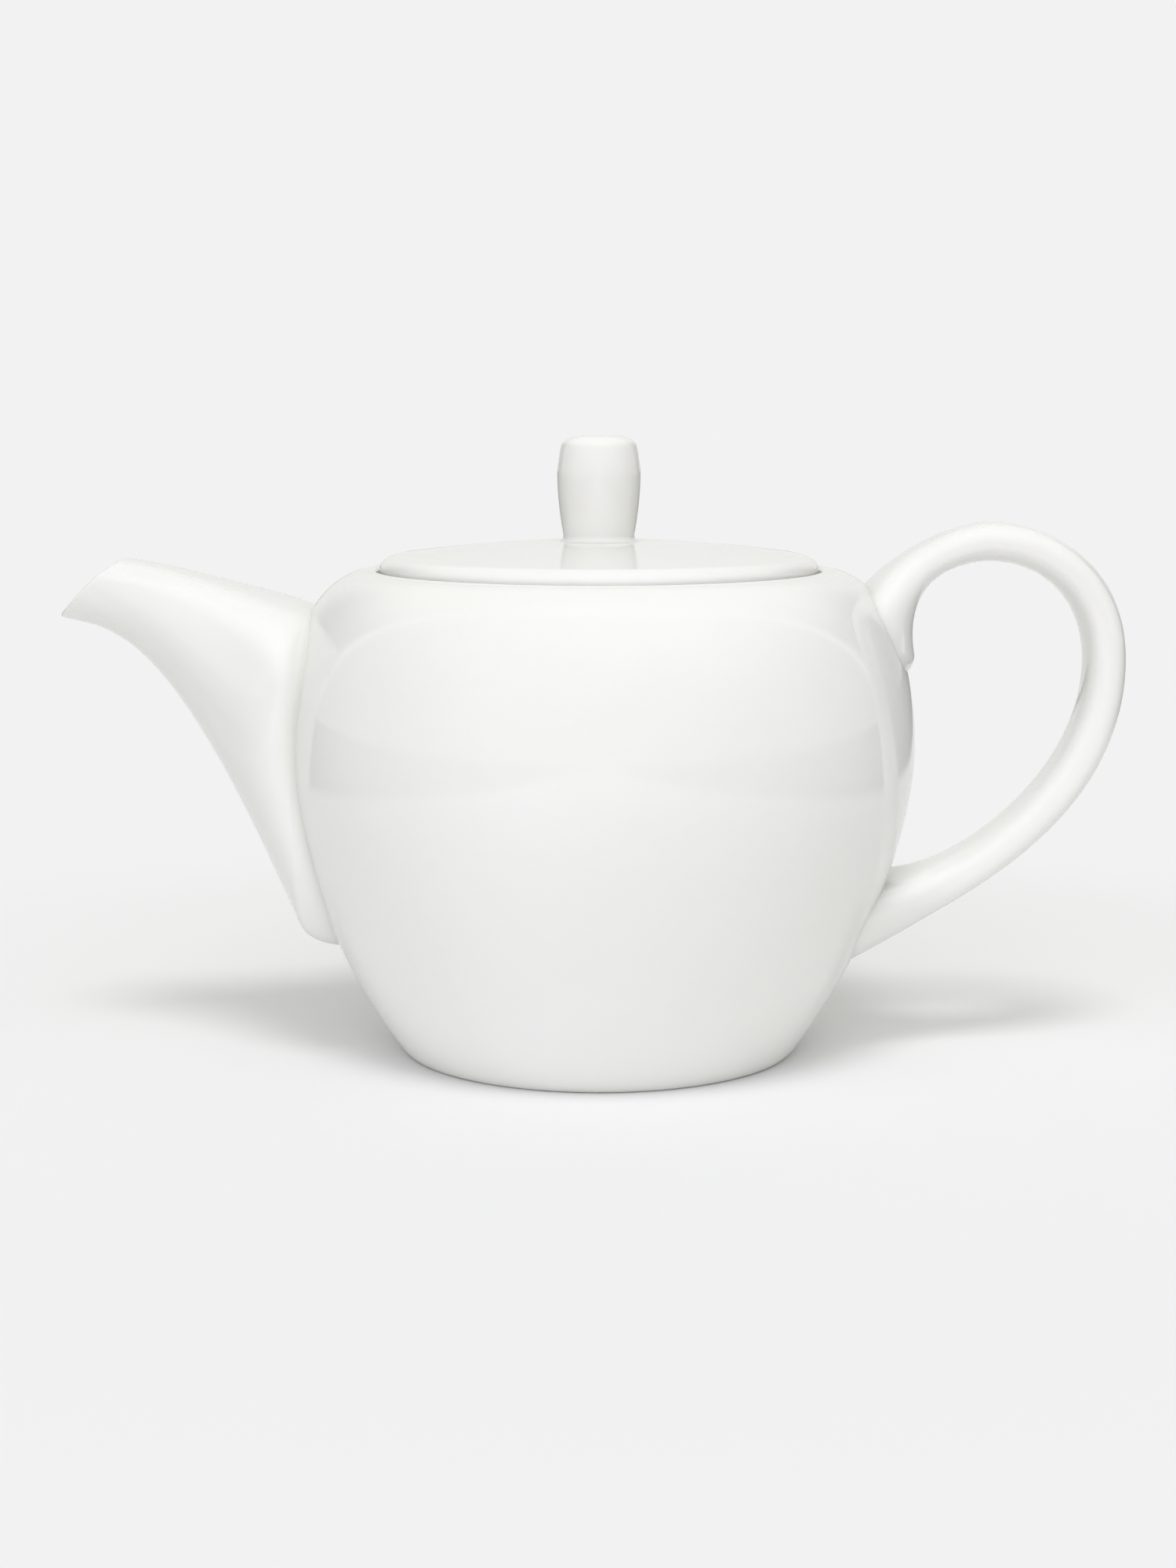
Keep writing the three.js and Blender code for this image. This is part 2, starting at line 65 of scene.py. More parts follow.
# %% [markdown]
# ## Sizes from the frame
# The new surfaces stand exactly where the construction stands, so the sizes that matter are read from
# the boxes of its pieces: the belly and the rim from the pot, the reach of the spout and the handle,
# the seat of the lid, the height of the knob. Only what a box can't tell is written down here.

# %% Sizes read from the frame
pot_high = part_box("pot_body")[1]
spout_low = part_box("spout")[0]
handle_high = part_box("handle")[1]
lid_low, lid_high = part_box("lid")
knob_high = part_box("knob")[1]

BELLY_RADIUS = pot_high.x
RIM_HEIGHT = pot_high.z
SPOUT_REACH = -spout_low.x
HANDLE_REACH = handle_high.x
HANDLE_TOP = handle_high.z
LID_RADIUS = lid_high.x
LID_TOP = lid_high.z
LID_FOOT = lid_low.z
KNOB_TOP = knob_high.z
KNOB_RADIUS = knob_high.x
for label, size in (("belly", BELLY_RADIUS), ("rim", RIM_HEIGHT), ("lid", LID_RADIUS)):
    print(label, round(size / mm, 1), "mm")


# %% [markdown]
# ## The camera
# The camera comes before the shapes, so that every later step can be looked at through it. A
# photograph like this one is taken from about 60 cm with a long lens, a little above the rim and
# tilted down, which shows the lid as a thin ellipse. The 36 mm of the sensor lie along the long side.

# %% Camera
CAMERA_PLACE = (0.0, -608 * mm, 152 * mm)
CAMERA_TILT = 8.56
CAMERA_TURN = -0.23
FOCAL_PIXELS = 3444
FRAME_PIXELS = 2000
SENSOR = 36.0

camera = placed("camera", bpy.data.cameras.new("camera"))
camera.location = CAMERA_PLACE
camera.rotation_euler = (math.radians(90 - CAMERA_TILT), 0, math.radians(-CAMERA_TURN))
camera.data.sensor_width = SENSOR
camera.data.lens = FOCAL_PIXELS * SENSOR / FRAME_PIXELS
camera.data.clip_start = 10 * mm
bpy.context.scene.camera = camera
print("lens", round(camera.data.lens, 1), "mm")


# %% [markdown]
# ## Grids into meshes
# Every piece here is a grid of points: rows along the piece, columns around it. A grid can close in
# three ways. Its columns always join, because every piece is round. Its rows either join too, as on
# the hollow spout, or they end in two poles, as on a thrown or turned piece. One helper makes both,
# and turns the faces round if the enclosed volume comes out negative, so that they always look out.

# %% Mesh helper
def signed_volume(points, quads):
    """Sum of the tetrahedra between the origin and each face's two triangles."""
    a, b, c, d = (points[quads[:, i]] for i in range(4))
    return (np.einsum("ij,ij->", np.cross(a, b), c) + np.einsum("ij,ij->", np.cross(a, c), d)) / 6


def grid_faces(rows, columns, rows_join):
    """Corner numbers of the quads between neighbouring rows and columns. The last column meets the
    first, and where the rows join, the last row does too."""
    last = rows if rows_join else rows - 1
    row, column = np.meshgrid(np.arange(last), np.arange(columns), indexing="ij")
    below, right = (row + 1) % rows, (column + 1) % columns
    quads = [row * columns + column, row * columns + right, below * columns + right, below * columns + column]
    return np.stack([q.ravel() for q in quads], -1)


def surface(name, grid, rows_join=False):
    """A smooth closed mesh from a grid of points (rows, columns, 3). Where the rows don't join, each end
    closes in a pole at the middle of its ring."""
    rows, columns = grid.shape[:2]
    points = grid.reshape(-1, 3)
    quads = grid_faces(rows, columns, rows_join)
    ends = []
    if not rows_join:
        points = np.vstack([points, grid[0].mean(0), grid[-1].mean(0)])
        ring = np.arange(columns)
        after = (ring + 1) % columns
        last = (rows - 1) * columns
        ends = np.vstack([
            np.stack([np.full(columns, rows * columns), after, ring], -1),
            np.stack([np.full(columns, rows * columns + 1), last + ring, last + after], -1),
        ]).tolist()
    faces = quads.tolist() + ends
    if signed_volume(points, quads) < 0:
        faces = [face[::-1] for face in faces]
    mesh = bpy.data.meshes.new(name)
    mesh.from_pydata(points.tolist(), [], faces)
    mesh.shade_smooth()
    print(name, len(points), "points,", len(faces), "faces")
    return placed(name, mesh)


def turned(profile, columns):
    """The grid of a profile of (radius, height) points turned round the upright axis."""
    angle = np.arange(columns) * 2 * np.pi / columns
    radius, height = profile[:, 0, None], profile[:, 1, None]
    upright = np.broadcast_to(height, (len(profile), columns))
    return np.stack([radius * np.cos(angle), radius * np.sin(angle), upright], -1)


# %% [markdown]
# ## Curves with direction and pull
# A potter's template is drawn with a few smooth stretches. Here each stretch is a cubic Bezier curve
# between two knots. A knot has a place, the direction that the curve has there, and how strongly that
# direction pulls the curve before and after it. Neighbouring stretches share the direction of their
# knot, so they meet without a corner.

# %% Curve helpers
def heading(slope):
    """The unit vector at an angle in degrees."""
    return np.array([math.cos(math.radians(slope)), math.sin(math.radians(slope))])


def stretch(start, slope, ahead, end, end_slope, back):
    """The four control points between two places, with the slopes there in degrees and their pulls."""
    start, end = np.array(start, float), np.array(end, float)
    return np.array([start, start + ahead * heading(slope), end - back * heading(end_slope), end])


def straight(start, end):
    """A straight stretch, with its control points spaced evenly."""
    share = np.linspace(0, 1, 4)[:, None]
    return np.array(start) * (1 - share) + np.array(end) * share


def along(control, t):
    """Points at parameters t: the Bernstein sum of four control points, one set or one for each t."""
    t = np.asarray(t, float)[..., None]
    p = np.moveaxis(np.asarray(control), -2, 0)
    return (1 - t) ** 3 * p[0] + 3 * (1 - t) ** 2 * t * p[1] + 3 * (1 - t) * t**2 * p[2] + t**3 * p[3]


def drawn(control, count):
    """Points along one stretch, from end to end."""
    return along(control, np.linspace(0, 1, count))


def corner(before, at, after, radius, steps=6):
    """Points that round a corner, on a quadratic curve which leaves both sides at the given distance."""
    before, at, after = (np.array(p, float) for p in (before, at, after))
    start = at + (before - at) * radius / np.linalg.norm(before - at)
    end = at + (after - at) * radius / np.linalg.norm(after - at)
    t = np.linspace(0, 1, steps + 1)[:, None]
    return (1 - t) ** 2 * start + 2 * (1 - t) * t * at + t**2 * end


def smooth(x, low, high):
    """Rises from 0 at low to 1 at high, level at both ends."""
    t = np.clip((x - low) / (high - low), 0, 1)
    return t * t * (3 - 2 * t)


def levelled(x, limit, softness):
    """Follows x and levels off softly before a limit."""
    return limit - softness * np.log1p(np.exp((limit - x) / softness))


# %% [markdown]
# ## The outline of the pot
# In the plane of radius and height the pot is two stretches: a flare that leaves the foot nearly
# straight, and a shoulder that rolls over into the low slope at the rim. They meet at the belly. The
# spout and the handle are later laid against this same outline, so it also gets a function that finds
# the nearest point of the pot to any place in space, with its distance and outward direction.

# %% Outline of the pot
FOOT_RADIUS = 44.8 * mm
FOOT_SLOPE = 54.2
FLARE_PULL = 32.5 * mm
BELLY_HEIGHT = 69 * mm
BELLY_PULL = 14 * mm
RIM_RADIUS = 51.8 * mm
RIM_SLOPE = 7
RIM_PULL = 16 * mm
OUTLINE_POINTS = 600
POINTS_AT_ONCE = 8000

belly = (BELLY_RADIUS, BELLY_HEIGHT)
flare = stretch((FOOT_RADIUS, 0), FOOT_SLOPE, FLARE_PULL, belly, 90, BELLY_PULL)
shoulder = stretch(belly, 90, BELLY_PULL, (RIM_RADIUS, RIM_HEIGHT), 180 - RIM_SLOPE, RIM_PULL)

outline = np.vstack([drawn(flare, OUTLINE_POINTS), drawn(shoulder, OUTLINE_POINTS)[1:]])
outline_run = np.gradient(outline, axis=0)
outline_run /= np.linalg.norm(outline_run, axis=1, keepdims=True)
print("outline of", len(outline), "points")


def nearest_on_pot(points):
    """For points in space: the foot of the shortest line to the pot's outside, the signed distance and
    the outward direction. In the half plane, the nearest outline point is found first, and the place is
    then slid along the outline's direction there."""
    flat = points.reshape(-1, 3)
    radius = np.hypot(flat[:, 0], flat[:, 1])
    here = np.stack([radius, flat[:, 2]], -1)
    index = np.empty(len(flat), int)
    for part in np.array_split(np.arange(len(flat)), max(1, len(flat) // POINTS_AT_ONCE)):
        gap = ((here[part, None, :] - outline[None]) ** 2).sum(-1)
        index[part] = gap.argmin(1)
    run = outline_run[index]
    slide = ((here - outline[index]) * run).sum(-1, keepdims=True)
    foot = outline[index] + slide * run
    out = np.stack([run[:, 1], -run[:, 0]], -1)
    distance = ((here - foot) * out).sum(-1)
    turn = flat[:, :2] / radius[:, None]
    foot = np.column_stack([turn * foot[:, :1], foot[:, 1]])
    normal = np.column_stack([turn * out[:, :1], out[:, 1]])
    return foot.reshape(points.shape), distance.reshape(points.shape[:-1]), normal.reshape(points.shape)


def pot_radius(height):
    """The pot's outer radius at a height."""
    return float(np.interp(height, outline[:, 1], outline[:, 0]))


# %% [markdown]
# ## The body
# Profile and lathe suit anything made on a wheel or in a round mould. The profile starts under the
# foot, goes out over the ground ring, up the outside, over the lip, down into the seat of the lid and
# the mouth, and back down the inside to the middle of the floor. Glaze softens every edge, so each
# corner is rounded, and none is left sharp for the light to skip over.

# %% Profile of the body
WALL = 3.2 * mm
FLOOR_HEIGHT = 5.8 * mm
FOOT_HOLLOW = 2.2 * mm
RING_WIDTH = 2.6 * mm
FOOT_EDGE = 1.0 * mm
LIP_THICKNESS = 1.9 * mm
SEAT_DEPTH = 1.9 * mm
SEAT_WIDTH = 5 * mm
SEAT_THICKNESS = 3.4 * mm
FLOOR_CORNER = 9 * mm
FLOOR_SLOPE = -125
FLOOR_PULL = 5 * mm
GLAZE_EDGE = 0.6 * mm
RING_INNER_EDGE = 0.35 * mm
RING_OUTER_EDGE = 0.9 * mm
POLE_RADIUS = 4 * mm
FOOT_SHARE = 0.02
INSIDE_FOOT = 0.3
INSIDE_TOP = 0.8
LIP_START = 40
LIP_FLATNESS = 0.9

SEAT_HEIGHT = RIM_HEIGHT - SEAT_DEPTH
LIP_INNER = RIM_RADIUS - LIP_THICKNESS
MOUTH_RADIUS = LIP_INNER - SEAT_WIDTH


def inset(control, t, depth):
    """Points at a depth inside a stretch of the outline, square to it."""
    points = along(control, t)
    run = np.gradient(points, axis=0)
    run /= np.linalg.norm(run, axis=1, keepdims=True)
    return points + depth * np.stack([-run[:, 1], run[:, 0]], -1)


def body_profile():
    """The outline of half a section through the body, from the axis underneath to the axis inside."""
    ring_outer = FOOT_RADIUS - FOOT_EDGE
    ring_inner = ring_outer - RING_WIDTH
    hollow = (ring_inner - FOOT_EDGE, FOOT_HOLLOW)
    above_foot = along(flare, FOOT_SHARE)
    outside_flare = along(flare, np.linspace(FOOT_SHARE, 1, 84))
    outside_shoulder = drawn(shoulder, 84)[1:-3]
    inside_shoulder = inset(shoulder, np.linspace(0, INSIDE_TOP, 30), WALL)[::-1]
    inside_flare = inset(flare, np.linspace(INSIDE_FOOT, 1, 40), WALL)[::-1]
    under_seat = (MOUTH_RADIUS, SEAT_HEIGHT - SEAT_THICKNESS)
    mouth_edge = (MOUTH_RADIUS, SEAT_HEIGHT)
    seat_corner = (LIP_INNER, SEAT_HEIGHT)
    lip_inside = (LIP_INNER, RIM_HEIGHT + 0.2 * mm)
    wall_foot = inside_flare[-1]
    floor_rim = (wall_foot[0] - FLOOR_CORNER * 1.4, FLOOR_HEIGHT)
    floor_edge = stretch(wall_foot, FLOOR_SLOPE, FLOOR_CORNER * 0.5, floor_rim, 180, FLOOR_PULL)
    floor_level = np.column_stack([np.linspace(floor_rim[0], POLE_RADIUS, 11)[1:], np.full(10, FLOOR_HEIGHT)])
    under_radii = np.linspace(POLE_RADIUS, hollow[0] - FOOT_EDGE, 11)
    under_level = np.column_stack([under_radii, np.full(11, FOOT_HOLLOW)])
    return np.vstack([
        under_level,
        corner(under_level[-1], hollow, (ring_inner, 0), FOOT_EDGE * 0.9),
        corner(hollow, (ring_inner, 0), (ring_outer, 0), RING_INNER_EDGE, 3),
        corner((ring_inner, 0), (FOOT_RADIUS - 0.3 * mm, 0), above_foot, RING_OUTER_EDGE, 8),
        outside_flare,
        outside_shoulder,
        lip_round(),
        corner(lip_inside, seat_corner, mouth_edge, GLAZE_EDGE),
        corner(seat_corner, mouth_edge, under_seat, GLAZE_EDGE),
        corner(mouth_edge, under_seat, inside_shoulder[0], GLAZE_EDGE),
        inside_shoulder[1:],
        inside_flare[1:],
        drawn(floor_edge, 14)[1:],
        floor_level,
    ])


def lip_round():
    """The rounded top of the lip: half an ellipse from the shoulder's slope over to the inside."""
    half = LIP_THICKNESS / 2
    angle = np.radians(np.linspace(LIP_START, 180, 14))
    middle = np.array([RIM_RADIUS - half, RIM_HEIGHT - half * LIP_FLATNESS])
    return middle + np.stack([half * np.cos(angle), half * LIP_FLATNESS * np.sin(angle)], -1)


# %% Body
BODY_COLUMNS = 280
body = surface("pot_shell", turned(body_profile(), BODY_COLUMNS))


# %% [markdown]
# ## The strainer
# Behind the spout the wall is pierced with rows of holes that hold the leaves back. A boolean cut is
# the honest way here: the real holes are punched through the clay one by one, and their edges keep
# the direction of the tool. The field of holes is centred between the top and the toe of the spout's
# root. The rods are one joined mesh, used once and then removed.

# %% Strainer
HOLE_DIAMETER = 3.8 * mm
HOLE_PITCH = 8.5 * mm
HOLE_ROWS = (3, 4, 3, 4, 3)
HOLE_SIDES = 32
TOP_ROOT = RIM_HEIGHT - 8.7 * mm
TOE_HEIGHT = 23.4 * mm


def rod(length, radius, sides):
    """Points and quads of a prism along Z round the origin, with its ends as two more faces."""
    angle = np.arange(sides) * 2 * np.pi / sides
    ring = np.stack([radius * np.cos(angle), radius * np.sin(angle)], -1)
    low = np.column_stack([ring, np.full(sides, -length / 2)])
    high = np.column_stack([ring, np.full(sides, length / 2)])
    i = np.arange(sides)
    j = (i + 1) % sides
    faces = np.stack([i, j, sides + j, sides + i], -1).tolist() + [i[::-1].tolist(), (sides + i).tolist()]
    return np.vstack([low, high]), faces


def hole_centres(middle_height):
    """Places of the holes in the plane of width and height: staggered rows a pitch apart."""
    row_step = HOLE_PITCH * math.sin(math.radians(60))
    places = []
    for row, count in enumerate(HOLE_ROWS):
        height = middle_height + (row - (len(HOLE_ROWS) - 1) / 2) * row_step
        places += [((i - (count - 1) / 2) * HOLE_PITCH, height) for i in range(count)]
    return places


def pierce(piece, rods):
    """Cuts the rods, each a list of points and faces, out of a piece with one exact boolean."""
    points, faces = [], []
    for rod_points, rod_faces in rods:
        offset = sum(len(p) for p in points)
        points.append(rod_points)
        faces += [[offset + c for c in face] for face in rod_faces]
    mesh = bpy.data.meshes.new("rods")
    mesh.from_pydata(np.vstack(points).tolist(), [], faces)
    tool = placed("rods", mesh)
    cut = piece.modifiers.new("holes", "BOOLEAN")
    cut.operation = "DIFFERENCE"
    cut.solver = "EXACT"
    cut.object = tool
    bpy.context.view_layer.update()
    evaluated = piece.evaluated_get(bpy.context.evaluated_depsgraph_get())
    result = bpy.data.meshes.new_from_object(evaluated)
    piece.modifiers.clear()
    old = piece.data
    piece.data = result
    bpy.data.meshes.remove(old)
    bpy.data.objects.remove(tool)
    print(piece.name, "pierced", len(rods), "times,", len(result.polygons), "faces")


strainer_middle = (TOP_ROOT + TOE_HEIGHT) / 2
rod_points, rod_faces = rod(BELLY_RADIUS, HOLE_DIAMETER / 2, HOLE_SIDES)
x, y, z = rod_points.T
pierce(body, [
    (np.stack([z - BELLY_RADIUS, y + width, height - x], -1), rod_faces)
    for width, height in hole_centres(strainer_middle)
])


# %% [markdown]
# ## How a root meets the pot
# Where the spout and the handle are stuck on, their sides change over the last millimetres. The
# handle spreads out onto the pot. The spout does the opposite: its sides turn in behind a soft ridge.
# In the corner itself lies a tiny fillet of glaze, which catches a thin bright line of light. All of
# this is made the same way: a point near the pot is slid sideways along it, the further the closer it
# lies to the pot, outward where the amount is positive and inward where it is negative.

# %% Spreading roots
SPREAD_SIDE_POWER = 0.6
FILLET_HEIGHT = 0.5 * mm
FILLET_SPREAD = 0.4 * mm
SINK = 0.15 * mm
ON_THE_POT = 0.01 * mm
HALVINGS = 24
SIDE_CROWDING = 0.12


def spread(points, side, amount, height, power):
    """Slides points along the pot by amount times closeness to a power, where closeness runs from 0 at
    the given height to 1 on the pot, plus the small round fillet of glaze. Side runs from 1 to -1 across
    the section, whose sides slide furthest. Points on the pot sink just under its skin."""
    foot, distance, normal = nearest_on_pot(points)
    close = np.clip(1 - np.maximum(distance, 0) / height, 0, 1)
    near = np.clip(1 - np.maximum(distance, 0) / FILLET_HEIGHT, 0, 1)
    fillet = FILLET_SPREAD * (1 - np.sqrt(1 - near**2))
    slide = amount * np.abs(side) ** SPREAD_SIDE_POWER * close**power + fillet
    sideways = np.outer(np.sign(side), (0, 1, 0))
    tangent = sideways - (sideways * normal).sum(-1, keepdims=True) * normal
    tangent /= np.maximum(np.linalg.norm(tangent, axis=-1, keepdims=True), 1e-9)
    moved_foot, _, moved_normal = nearest_on_pot(foot + tangent * slide[..., None])
    lift = np.where(distance <= ON_THE_POT, -SINK, distance)
    return moved_foot + moved_normal * lift[..., None]


def meeting(line, free, buried, distance, count):
    """For each of count lines, the parameter where it comes to a distance from the pot, by halving."""
    outer, inner = np.full(count, float(free)), np.full(count, float(buried))
    for _ in range(HALVINGS):
        middle = (outer + inner) / 2
        outside = nearest_on_pot(line(middle))[1] > distance
        outer, inner = np.where(outside, middle, outer), np.where(outside, inner, middle)
    return (outer + inner) / 2


def rounded_turn(u, squareness):
    """Points of a unit outline between a circle (squareness 2) and a square, closer at the sides."""
    turn = 2 * np.pi * u - SIDE_CROWDING * np.sin(4 * np.pi * u)
    x, y = np.cos(turn), np.sin(turn)
    size = (np.abs(x) ** squareness + np.abs(y) ** squareness) ** (1 / squareness)
    return x / size, y / size


# %% [markdown]
# ## The spout
# A spout is a loft: an oval at the mouth turns into a tall egg with broad shoulders at the root, and
# two rails in the plane of the pot, one along the top and one underneath, set its place and height at
# every step. Its width grows like a funnel's and levels off just before the root, which leaves the
# soft ridge there. The surface is a function of two parameters: u goes around the section, v from the
# mouth down into the pot. Each line of constant u is followed until it meets the body, so the root
# lies on the round belly by construction. The same function, with an inset, gives the hollow inside.

# %% Rails of the spout
TIP_HEIGHT = 98.85 * mm
MOUTH_LENGTH = 19.5 * mm
MOUTH_ANGLE = 42
MOUTH_BOW = 0.7 * mm
TOP_SLOPE = 20
TOP_START_SLOPE = -6.2
TOP_PULLS = (10.5 * mm, 10 * mm)
UNDER_SLOPE = 67
UNDER_START_SLOPE = -18
UNDER_PULLS = (10.6 * mm, 79 * mm)
TOE_STAND = 5.8 * mm
TOE_RISE = 5.4 * mm
TOE_PULL = 4.8 * mm
BURY = 9.6 * mm
TOE_SHARE = 0.86

tip = np.array([-SPOUT_REACH, TIP_HEIGHT])
top_end = (-pot_radius(TOP_ROOT), TOP_ROOT)
toe = (-pot_radius(TOE_HEIGHT + TOE_STAND) - TOE_STAND, TOE_HEIGHT + TOE_RISE)
toe_end = (-pot_radius(TOE_HEIGHT) + BURY, TOE_HEIGHT)
mouth_top = tip + MOUTH_LENGTH * heading(MOUTH_ANGLE)
top_rail = stretch(mouth_top, TOP_START_SLOPE, TOP_PULLS[0], top_end, -TOP_SLOPE, TOP_PULLS[1])
under_rail = stretch(tip, UNDER_START_SLOPE, UNDER_PULLS[0], toe, -UNDER_SLOPE, UNDER_PULLS[1])
toe_rail = stretch(toe, -UNDER_SLOPE, TOE_PULL, toe_end, 0, BURY)
print("spout from", (tip / mm).round(1), "to a toe", round(toe[1] / mm, 1), "mm high")


def spout_rails(v):
    """Top and underside of the section at v: 0 at the mouth, TOE_SHARE at the toe, 1 inside the pot."""
    outside = np.minimum(v / TOE_SHARE, 1)
    deeper = np.maximum((v - TOE_SHARE) / (1 - TOE_SHARE), 0)
    top = along(top_rail, outside) + heading(-TOP_SLOPE) * (deeper * 2 * BURY)[..., None]
    before_toe = (v <= TOE_SHARE)[..., None]
    under = np.where(before_toe, along(under_rail, outside), along(toe_rail, np.minimum(deeper, 1)))
    return top, under


# %% Surface of the spout
MOUTH_WIDTH = 19 * mm
MIDDLE_WIDTH = 33 * mm
ROOT_WIDTH = 74 * mm
CROWN = 0.3
ROOT_SQUARENESS = 2.7
RIDGE = 0.91
RIDGE_SOFT = 0.04
SPOUT_WALL = 2.8 * mm
LIP_WALL = 1.7 * mm
SPOUT_SPREAD = -5 * mm
SPOUT_SPREAD_HEIGHT = 11 * mm
SPOUT_SPREAD_POWER = 2

half_widths = np.array([MOUTH_WIDTH, MOUTH_WIDTH + 2 * mm, MIDDLE_WIDTH, ROOT_WIDTH])[:, None] / 2


def spout_point(u, v, depth):
    """A place on the spout: the section at v is an egg with a low crown above and a long taper below,
    and u goes around it. Depth is how far in from the outer skin."""
    u, v, depth = np.broadcast_arrays(u, v, depth)
    top, under = spout_rails(v)
    rise = top - under
    height = np.linalg.norm(rise, axis=-1)
    up = rise / height[..., None]
    share = v / TOE_SHARE
    half_width = along(half_widths, levelled(share, RIDGE, RIDGE_SOFT))[..., 0] - depth
    across, upward = rounded_turn(u, 2 + (ROOT_SQUARENESS - 2) * np.clip(share, 0, 1))
    crown = CROWN * height
    reach = np.where(upward > 0, crown - depth, height - crown - depth)
    middle = under + up * (height - crown + reach * upward)[..., None]
    return np.stack([middle[..., 0], half_width * across, middle[..., 1]], -1)


SPOUT_COLUMNS = 256
OUTER_ROWS = 150
INNER_ROWS = 60
LIP_ROWS = 10
LIP_SHIFT = 40 * mm
ROW_CROWDING = 1.9
FREE_OF_POT = 0.35

around = np.arange(SPOUT_COLUMNS) / SPOUT_COLUMNS
outer_meet = meeting(lambda v: spout_point(around, v, 0.0), FREE_OF_POT, 1, 0.0, SPOUT_COLUMNS)
inner_meet = meeting(lambda v: spout_point(around, v, SPOUT_WALL), FREE_OF_POT, 1, -0.5 * mm, SPOUT_COLUMNS)
lip_start = LIP_WALL / 2 / LIP_SHIFT


def spout_grid():
    """Rows from the mouth over the outer skin to the pot, back through the wall, up the inner skin, and
    round the lip to the start. The inner skin turns in with the outer one, or it would stand out of it."""
    share = np.linspace(0, 1, OUTER_ROWS)[:, None]
    side = np.cos(2 * np.pi * around)
    first = lip_start - MOUTH_BOW / LIP_SHIFT * side**2
    v = first + (outer_meet - first) * (1 - (1 - share) ** ROW_CROWDING)
    outer = spread(spout_point(around, v, 0.0), side, SPOUT_SPREAD, SPOUT_SPREAD_HEIGHT, SPOUT_SPREAD_POWER)
    share = np.linspace(1, 0, INNER_ROWS)[:, None]
    depth = LIP_WALL + (SPOUT_WALL - LIP_WALL) * np.minimum(4 * share, 1)
    inner = spout_point(around, first + (inner_meet - first) * share, depth)
    inner = spread(inner, side, SPOUT_SPREAD, SPOUT_SPREAD_HEIGHT, SPOUT_SPREAD_POWER)
    angle = np.pi * np.arange(1, LIP_ROWS)[:, None] / LIP_ROWS
    lip_depth = LIP_WALL / 2 * (1 + np.cos(angle))
    lip = spout_point(around, first - LIP_WALL / 2 * np.sin(angle) / LIP_SHIFT, lip_depth)
    return np.vstack([outer, inner, lip])


# %% Spout
spout_rows = spout_grid()
spout = surface("spout_shell", spout_rows, rows_join=True)


# %% [markdown]
# ## The handle
# The handle is a solid oval rope of clay bent into a loop. Two rails again carry it, one outside and
# one inside, and each has five stretches: out of the pot, up to the top, round to the side, back down
# to the pot, and into it. Both roots spread sideways on the body.

# %% Rails of the handle
TOP_REACH = 87.5 * mm
SIDE_HEIGHT = 88.2 * mm
THICKNESS = 9.05 * mm
TOP_THICKNESS = 8.6 * mm
UPPER_ROOT_TOP = RIM_HEIGHT - 8.7 * mm
UPPER_ROOT_INSET = 6.4 * mm
UPPER_ROOT_SLOPE = 71.6
UPPER_TOE_HEIGHT = 85 * mm
UPPER_TOE_STAND = 2.4 * mm
TOE_SHOULDER = 6 * mm
LOWER_ROOT_TOP = 39.3 * mm
LOWER_ROOT_BOTTOM = 21.6 * mm
LOWER_SLOPE = 26.2
LOWER_INNER_SLOPE = 11.5

outer_start = np.array([pot_radius(UPPER_ROOT_TOP) - UPPER_ROOT_INSET, UPPER_ROOT_TOP])
outer_top = (TOP_REACH, HANDLE_TOP)
outer_side = (HANDLE_REACH, SIDE_HEIGHT)
outer_end = (pot_radius(LOWER_ROOT_BOTTOM), LOWER_ROOT_BOTTOM)
inner_start = (pot_radius(UPPER_TOE_HEIGHT) - BURY, UPPER_TOE_HEIGHT)
inner_toe = (pot_radius(UPPER_TOE_HEIGHT + TOE_SHOULDER) + UPPER_TOE_STAND, UPPER_TOE_HEIGHT + TOE_SHOULDER)
inner_top = (TOP_REACH, HANDLE_TOP - TOP_THICKNESS)
inner_side = (HANDLE_REACH - THICKNESS, SIDE_HEIGHT)
inner_end = (pot_radius(LOWER_ROOT_TOP), LOWER_ROOT_TOP)


def into_pot(end, slope):
    """A straight stretch from the end of a rail on into the pot."""
    return straight(end, np.array(end) + BURY * heading(slope))


# In each stretch: a place, the slope and the pull there, then the same of the next place.
outer_rail = np.array([
    straight(outer_start - BURY * heading(UPPER_ROOT_SLOPE), outer_start),
    stretch(outer_start, UPPER_ROOT_SLOPE, 10.6 * mm, outer_top, 0, 9.2 * mm),
    stretch(outer_top, 0, 13.1 * mm, outer_side, -90, 23.3 * mm),
    stretch(outer_side, -90, 34.2 * mm, outer_end, 180 + LOWER_SLOPE, 32.4 * mm),
    into_pot(outer_end, 180 + LOWER_SLOPE),
])
inner_rail = np.array([
    stretch(inner_start, 0, BURY, inner_toe, 100, UPPER_TOE_STAND),
    stretch(inner_toe, 100, 18.9 * mm, inner_top, 0, 3.7 * mm),
    stretch(inner_top, 0, 10.2 * mm, inner_side, -90, 16 * mm),
    stretch(inner_side, -90, 23.5 * mm, inner_end, 180 + LOWER_INNER_SLOPE, 21.2 * mm),
    into_pot(inner_end, 180 + LOWER_INNER_SLOPE),
])
print("handle with", len(outer_rail), "stretches on each rail")


